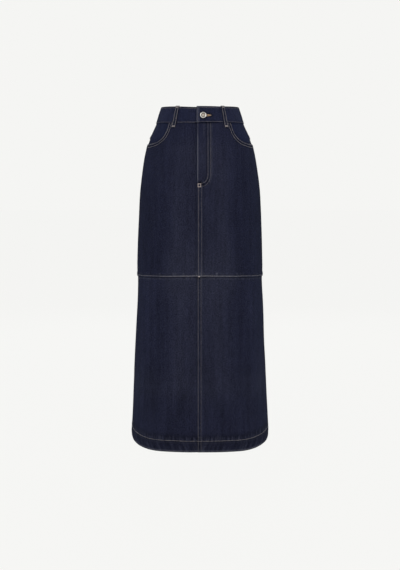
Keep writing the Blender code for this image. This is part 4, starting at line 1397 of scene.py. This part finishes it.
def levelLine(edge, above, low, high, step=0.0012):
    # a row that keeps its distance from a level edge, between two angles
    angle = np.arange(low, high, step / 0.15)
    return angle, edge(angle) + (above(angle) if callable(above) else above)


def centreRows(name, face, tier, top, bottom):
    # the two rows down a lapped centre seam
    height = np.arange(top, bottom, -0.0020)
    depth = depthAt(face, height)
    return [(name, worldAngle(face, 1, np.arctan2(skirt["overEdge"] + row, depth)), height, pale)
            for row, pale in zip(rows["felled"][tier], rows["felledPale"][tier])]


def flyRows(name):
    # dull below the band, and as pale as the row is from there down
    lines = []
    for row, pale in enumerate(rows["flyPale"]):
        angle, height = flyPath(row)
        lines.append((name, angle, height, 0.12 + (pale - 0.12) * ramp(height, -0.046, -0.062)))
    return lines


sideStop = 0.004      # how short of the side seams the level rows stop, as an angle
frontHigh = sideSeam - sideStop
# the angles that level rows run between
reach = {
    ("front", 1): (skirt["overEdge"] / 0.12 + 0.02, frontHigh),
    ("front", -1): (-frontHigh, -0.052),
    ("back", 1): (sideSeam + sideStop, math.pi + 0.035),
    ("back", -1): (math.pi + 0.045, 1.5 * math.pi - sideStop),
}
tierFront, tierBack = heightOf(tierSeam), heightOf(tierSeam, math.pi)
yokeBack, hemEnd = heightOf(yokeSeam, math.pi), skirt["hem"] + 0.0015
flyFoot = rows["flyTack"] - 0.003
yokeRows = [(yokeSeam, row) for row in rows["yoke"]]
# piece, face, seed, level rows with the edge each follows, and the tier, top and bottom of its centre rows
sewn = [
    ("frontUpper", "front", 300, [(tierSeam, tierRow)], ("upper", flyFoot, tierFront + 0.0008)),
    ("frontLower", "front", 310, [(hemEdge, rows["hem"])], ("lower", tierFront - 0.001, hemEnd)),
    ("backYoke", "back", 320, yokeRows, ("upper", -0.0235, yokeBack + 0.001)),
    ("backUpper", "back", 330, [(tierSeam, tierRow)], ("upper", yokeBack - 0.001, tierBack + 0.0008)),
    ("backLower", "back", 340, [(hemEdge, rows["hem"])], ("lower", tierBack - 0.001, hemEnd)),
]
for side, word in ((1, "Left"), (-1, "Right")):
    for part, face, seed, levels, centre in sewn:
        name = part + word
        lines = [(name, *levelLine(edge, above, *reach[face, side])) for edge, above in levels]
        if part == "frontUpper":
            lines[0] += (1.0 - 0.42 * ramp(np.abs(lines[0][1]), 0.45, 0.90),)
            lines += [(name, *mouthPath(inset, side)) for inset in rows["mouth"]]
            lines += flyRows(name) if side > 0 else []
        lines += centreRows(name, face, *centre) if side > 0 else []
        sew(name + "Stitching", lines, stitchThread, seed + side)
print("panels topstitched")


def bandRows():
    endAngle = overTurn + rows["bandEnd"] / waistDepth
    turn = np.arange(endAngle, 2 * math.pi + overTurn - 0.01, 0.012)
    top = bandHeight(turn, 1.0) - rows["bandTop"]
    bottom = bandHeight(turn, 0.0) + rows["bandBottom"]
    upright = np.linspace(bottom[0], top[0], 24)
    topPale, bottomPale, endPale = rows["bandPale"]
    bottomPale = bottomPale * (1 - ramp(np.abs(np.sin(turn)), 0.52, 0.74))
    bottomPale = bottomPale * np.where(turn < math.pi, 0.60, 1.25)
    return [("waistband", turn, top, topPale), ("waistband", turn, bottom, bottomPale),
            ("waistband", np.full(24, endAngle), upright, endPale)]


def holeStitches():
    x, z, part = keyhole(buttonhole["stitch"] / 2)
    angle = np.arctan2(button["across"] + x, waistDepth)
    pale, size = 0.1 + 0.9 * part, 1 - buttonhole["taper"] * part * 0.8
    return [("waistband", angle, button["height"] + z, pale, size)]


sew("waistbandStitching", bandRows(), stitchThread, 350)
sew("buttonholeStitching", holeStitches(), holeThread, 360, pitch=buttonhole["pitch"],
    length=buttonhole["stitch"], thread=buttonhole["thread"], turn=sideSeam, arch=0.00035)

tack = {"pitch": 0.00046, "length": 0.0021, "thread": 0.00028, "arch": 0.0004, "turn": math.radians(80)}
for name, nodeName, degrees, lean in loop["places"]:
    radius, top, bottom = addLoop(name, nodeName, degrees, lean)
    seed = int(abs(degrees))
    foot, head = math.radians(degrees), math.radians(degrees) + lean / radius
    height = np.arange(top - 0.0012, bottom + 0.0016, -0.0015)
    middle = foot + (head - foot) * (height - bottom) / (top - bottom)
    lines = [(name, middle + way * rows["loop"] / radius, height) for way in (-1, 1)]
    sew(name + "Stitching", lines, stitchThread, 400 + seed, pitch=0.0029, length=0.0023)
    across = np.linspace(-1, 1, 10) * loop["tackHalf"] / radius
    tacks = [(name, foot + across, bottom + loop["tackRow"]), (name, head + across, top - loop["tackRow"])]
    sew(name + "Tacks", tacks, tackThread, 420 + seed, **tack)
print("belt loops made")


def flyTacks():
    # a short dense bar across the foot of the fly, drawn as a small square of four
    centre, size, inset = -0.0016, 0.0042, 0.0009
    left, right = centre - size, centre + size
    low, high = rows["flyTack"] - size * 0.9, rows["flyTack"] + size * 0.9
    bars = [(np.linspace(left, right, 12), np.full(12, level)) for level in (low, high)]
    bars += [(across, np.linspace(low, high, 12)) for across in (left + inset, right - inset)]
    return [("frontUpperLeft", np.arctan2(across, depthAt("front", height)), height, 0.0)
            for across, height in bars]


def crossingTack():
    across = np.linspace(-0.0045, -0.0005, 8)
    angle = np.arctan2(across, depthAt("front", np.full(8, skirt["tierSeam"])))
    return [("frontUpperLeft", angle, tierSeam(angle) + above) for above in (0.0009, 0.0019)]


sew("flyTack", flyTacks(), tackThread, 440, **tack)
sew("seamTack", crossingTack(), tackThread, 441, **{**tack, "length": 0.0015})


studio = {
    "floor": -1.010,
    "reach": 40.0,
    "paper": (0.913, 0.913, 0.896),      # what the camera sees behind and below
    "ambient": 0.26,                     # what lights the cloth from all round
    # name, place, size, power, colour
    "lamps": [
        ("keyLamp", (-1.2, -3.3, 1.4), 1.5, 70, (1.0, 0.985, 0.965)),
        ("fillLamp", (1.4, -3.3, 0.9), 1.5, 52, (1.0, 0.99, 0.98)),
        ("leftLamp", (-3.0, 0.5, 0.0), 1.6, 46, (0.82, 0.91, 1.0)),
        ("rightLamp", (3.0, 0.5, 0.0), 1.6, 46, (0.82, 0.91, 1.0)),
        ("backLamp", (0.0, 3.6, 1.2), 2.2, 70, (1.0, 1.0, 1.0)),
    ],
    "aim": (0.0, 0.0, -0.42),
}


def paperLight(tree):
    # one even tone to the camera and a gentler one to everything else
    seen = node(tree, "ShaderNodeLightPath", output="Is Camera Ray")
    return calc(tree, "MULTIPLY_ADD", seen, 1 - studio["ambient"], studio["ambient"])


def addStudio():
    mesh = bpy.data.meshes.new("floor")
    reach, level = studio["reach"], studio["floor"]
    corners = [(-reach, -reach, level), (reach, -reach, level), (reach, reach, level), (-reach, reach, level)]
    mesh.from_pydata(corners, [], [(0, 1, 2, 3)])
    floor = addObject("floor", mesh)
    material, tree, sockets = newFinish("paper", {
        "Base Color": (0.02, 0.02, 0.02, 1), "Roughness": 0.9, "Specular IOR Level": 0.0,
        "Emission Color": (*studio["paper"], 1)})
    tree.links.new(calc(tree, "MULTIPLY", paperLight(tree), 0.986), sockets["Emission Strength"])
    mesh.materials.append(material)
    world = bpy.data.worlds.new("studio")
    world.use_nodes = True
    sky = world.node_tree.nodes["Background"]
    sky.inputs[0].default_value = (*studio["paper"], 1)
    world.node_tree.links.new(paperLight(world.node_tree), sky.inputs[1])
    bpy.context.scene.world = world
    for name, place, size, power, colour in studio["lamps"]:
        light = bpy.data.lights.new(name, "AREA")
        light.size = size
        light.energy = power
        light.color = colour
        lamp = addObject(name, light)
        lamp.location = place
        lamp.rotation_euler = (Vector(studio["aim"]) - Vector(place)).to_track_quat("-Z", "Y").to_euler()
    bpy.context.scene.view_settings.view_transform = "Standard"


addStudio()
print("studio lit")
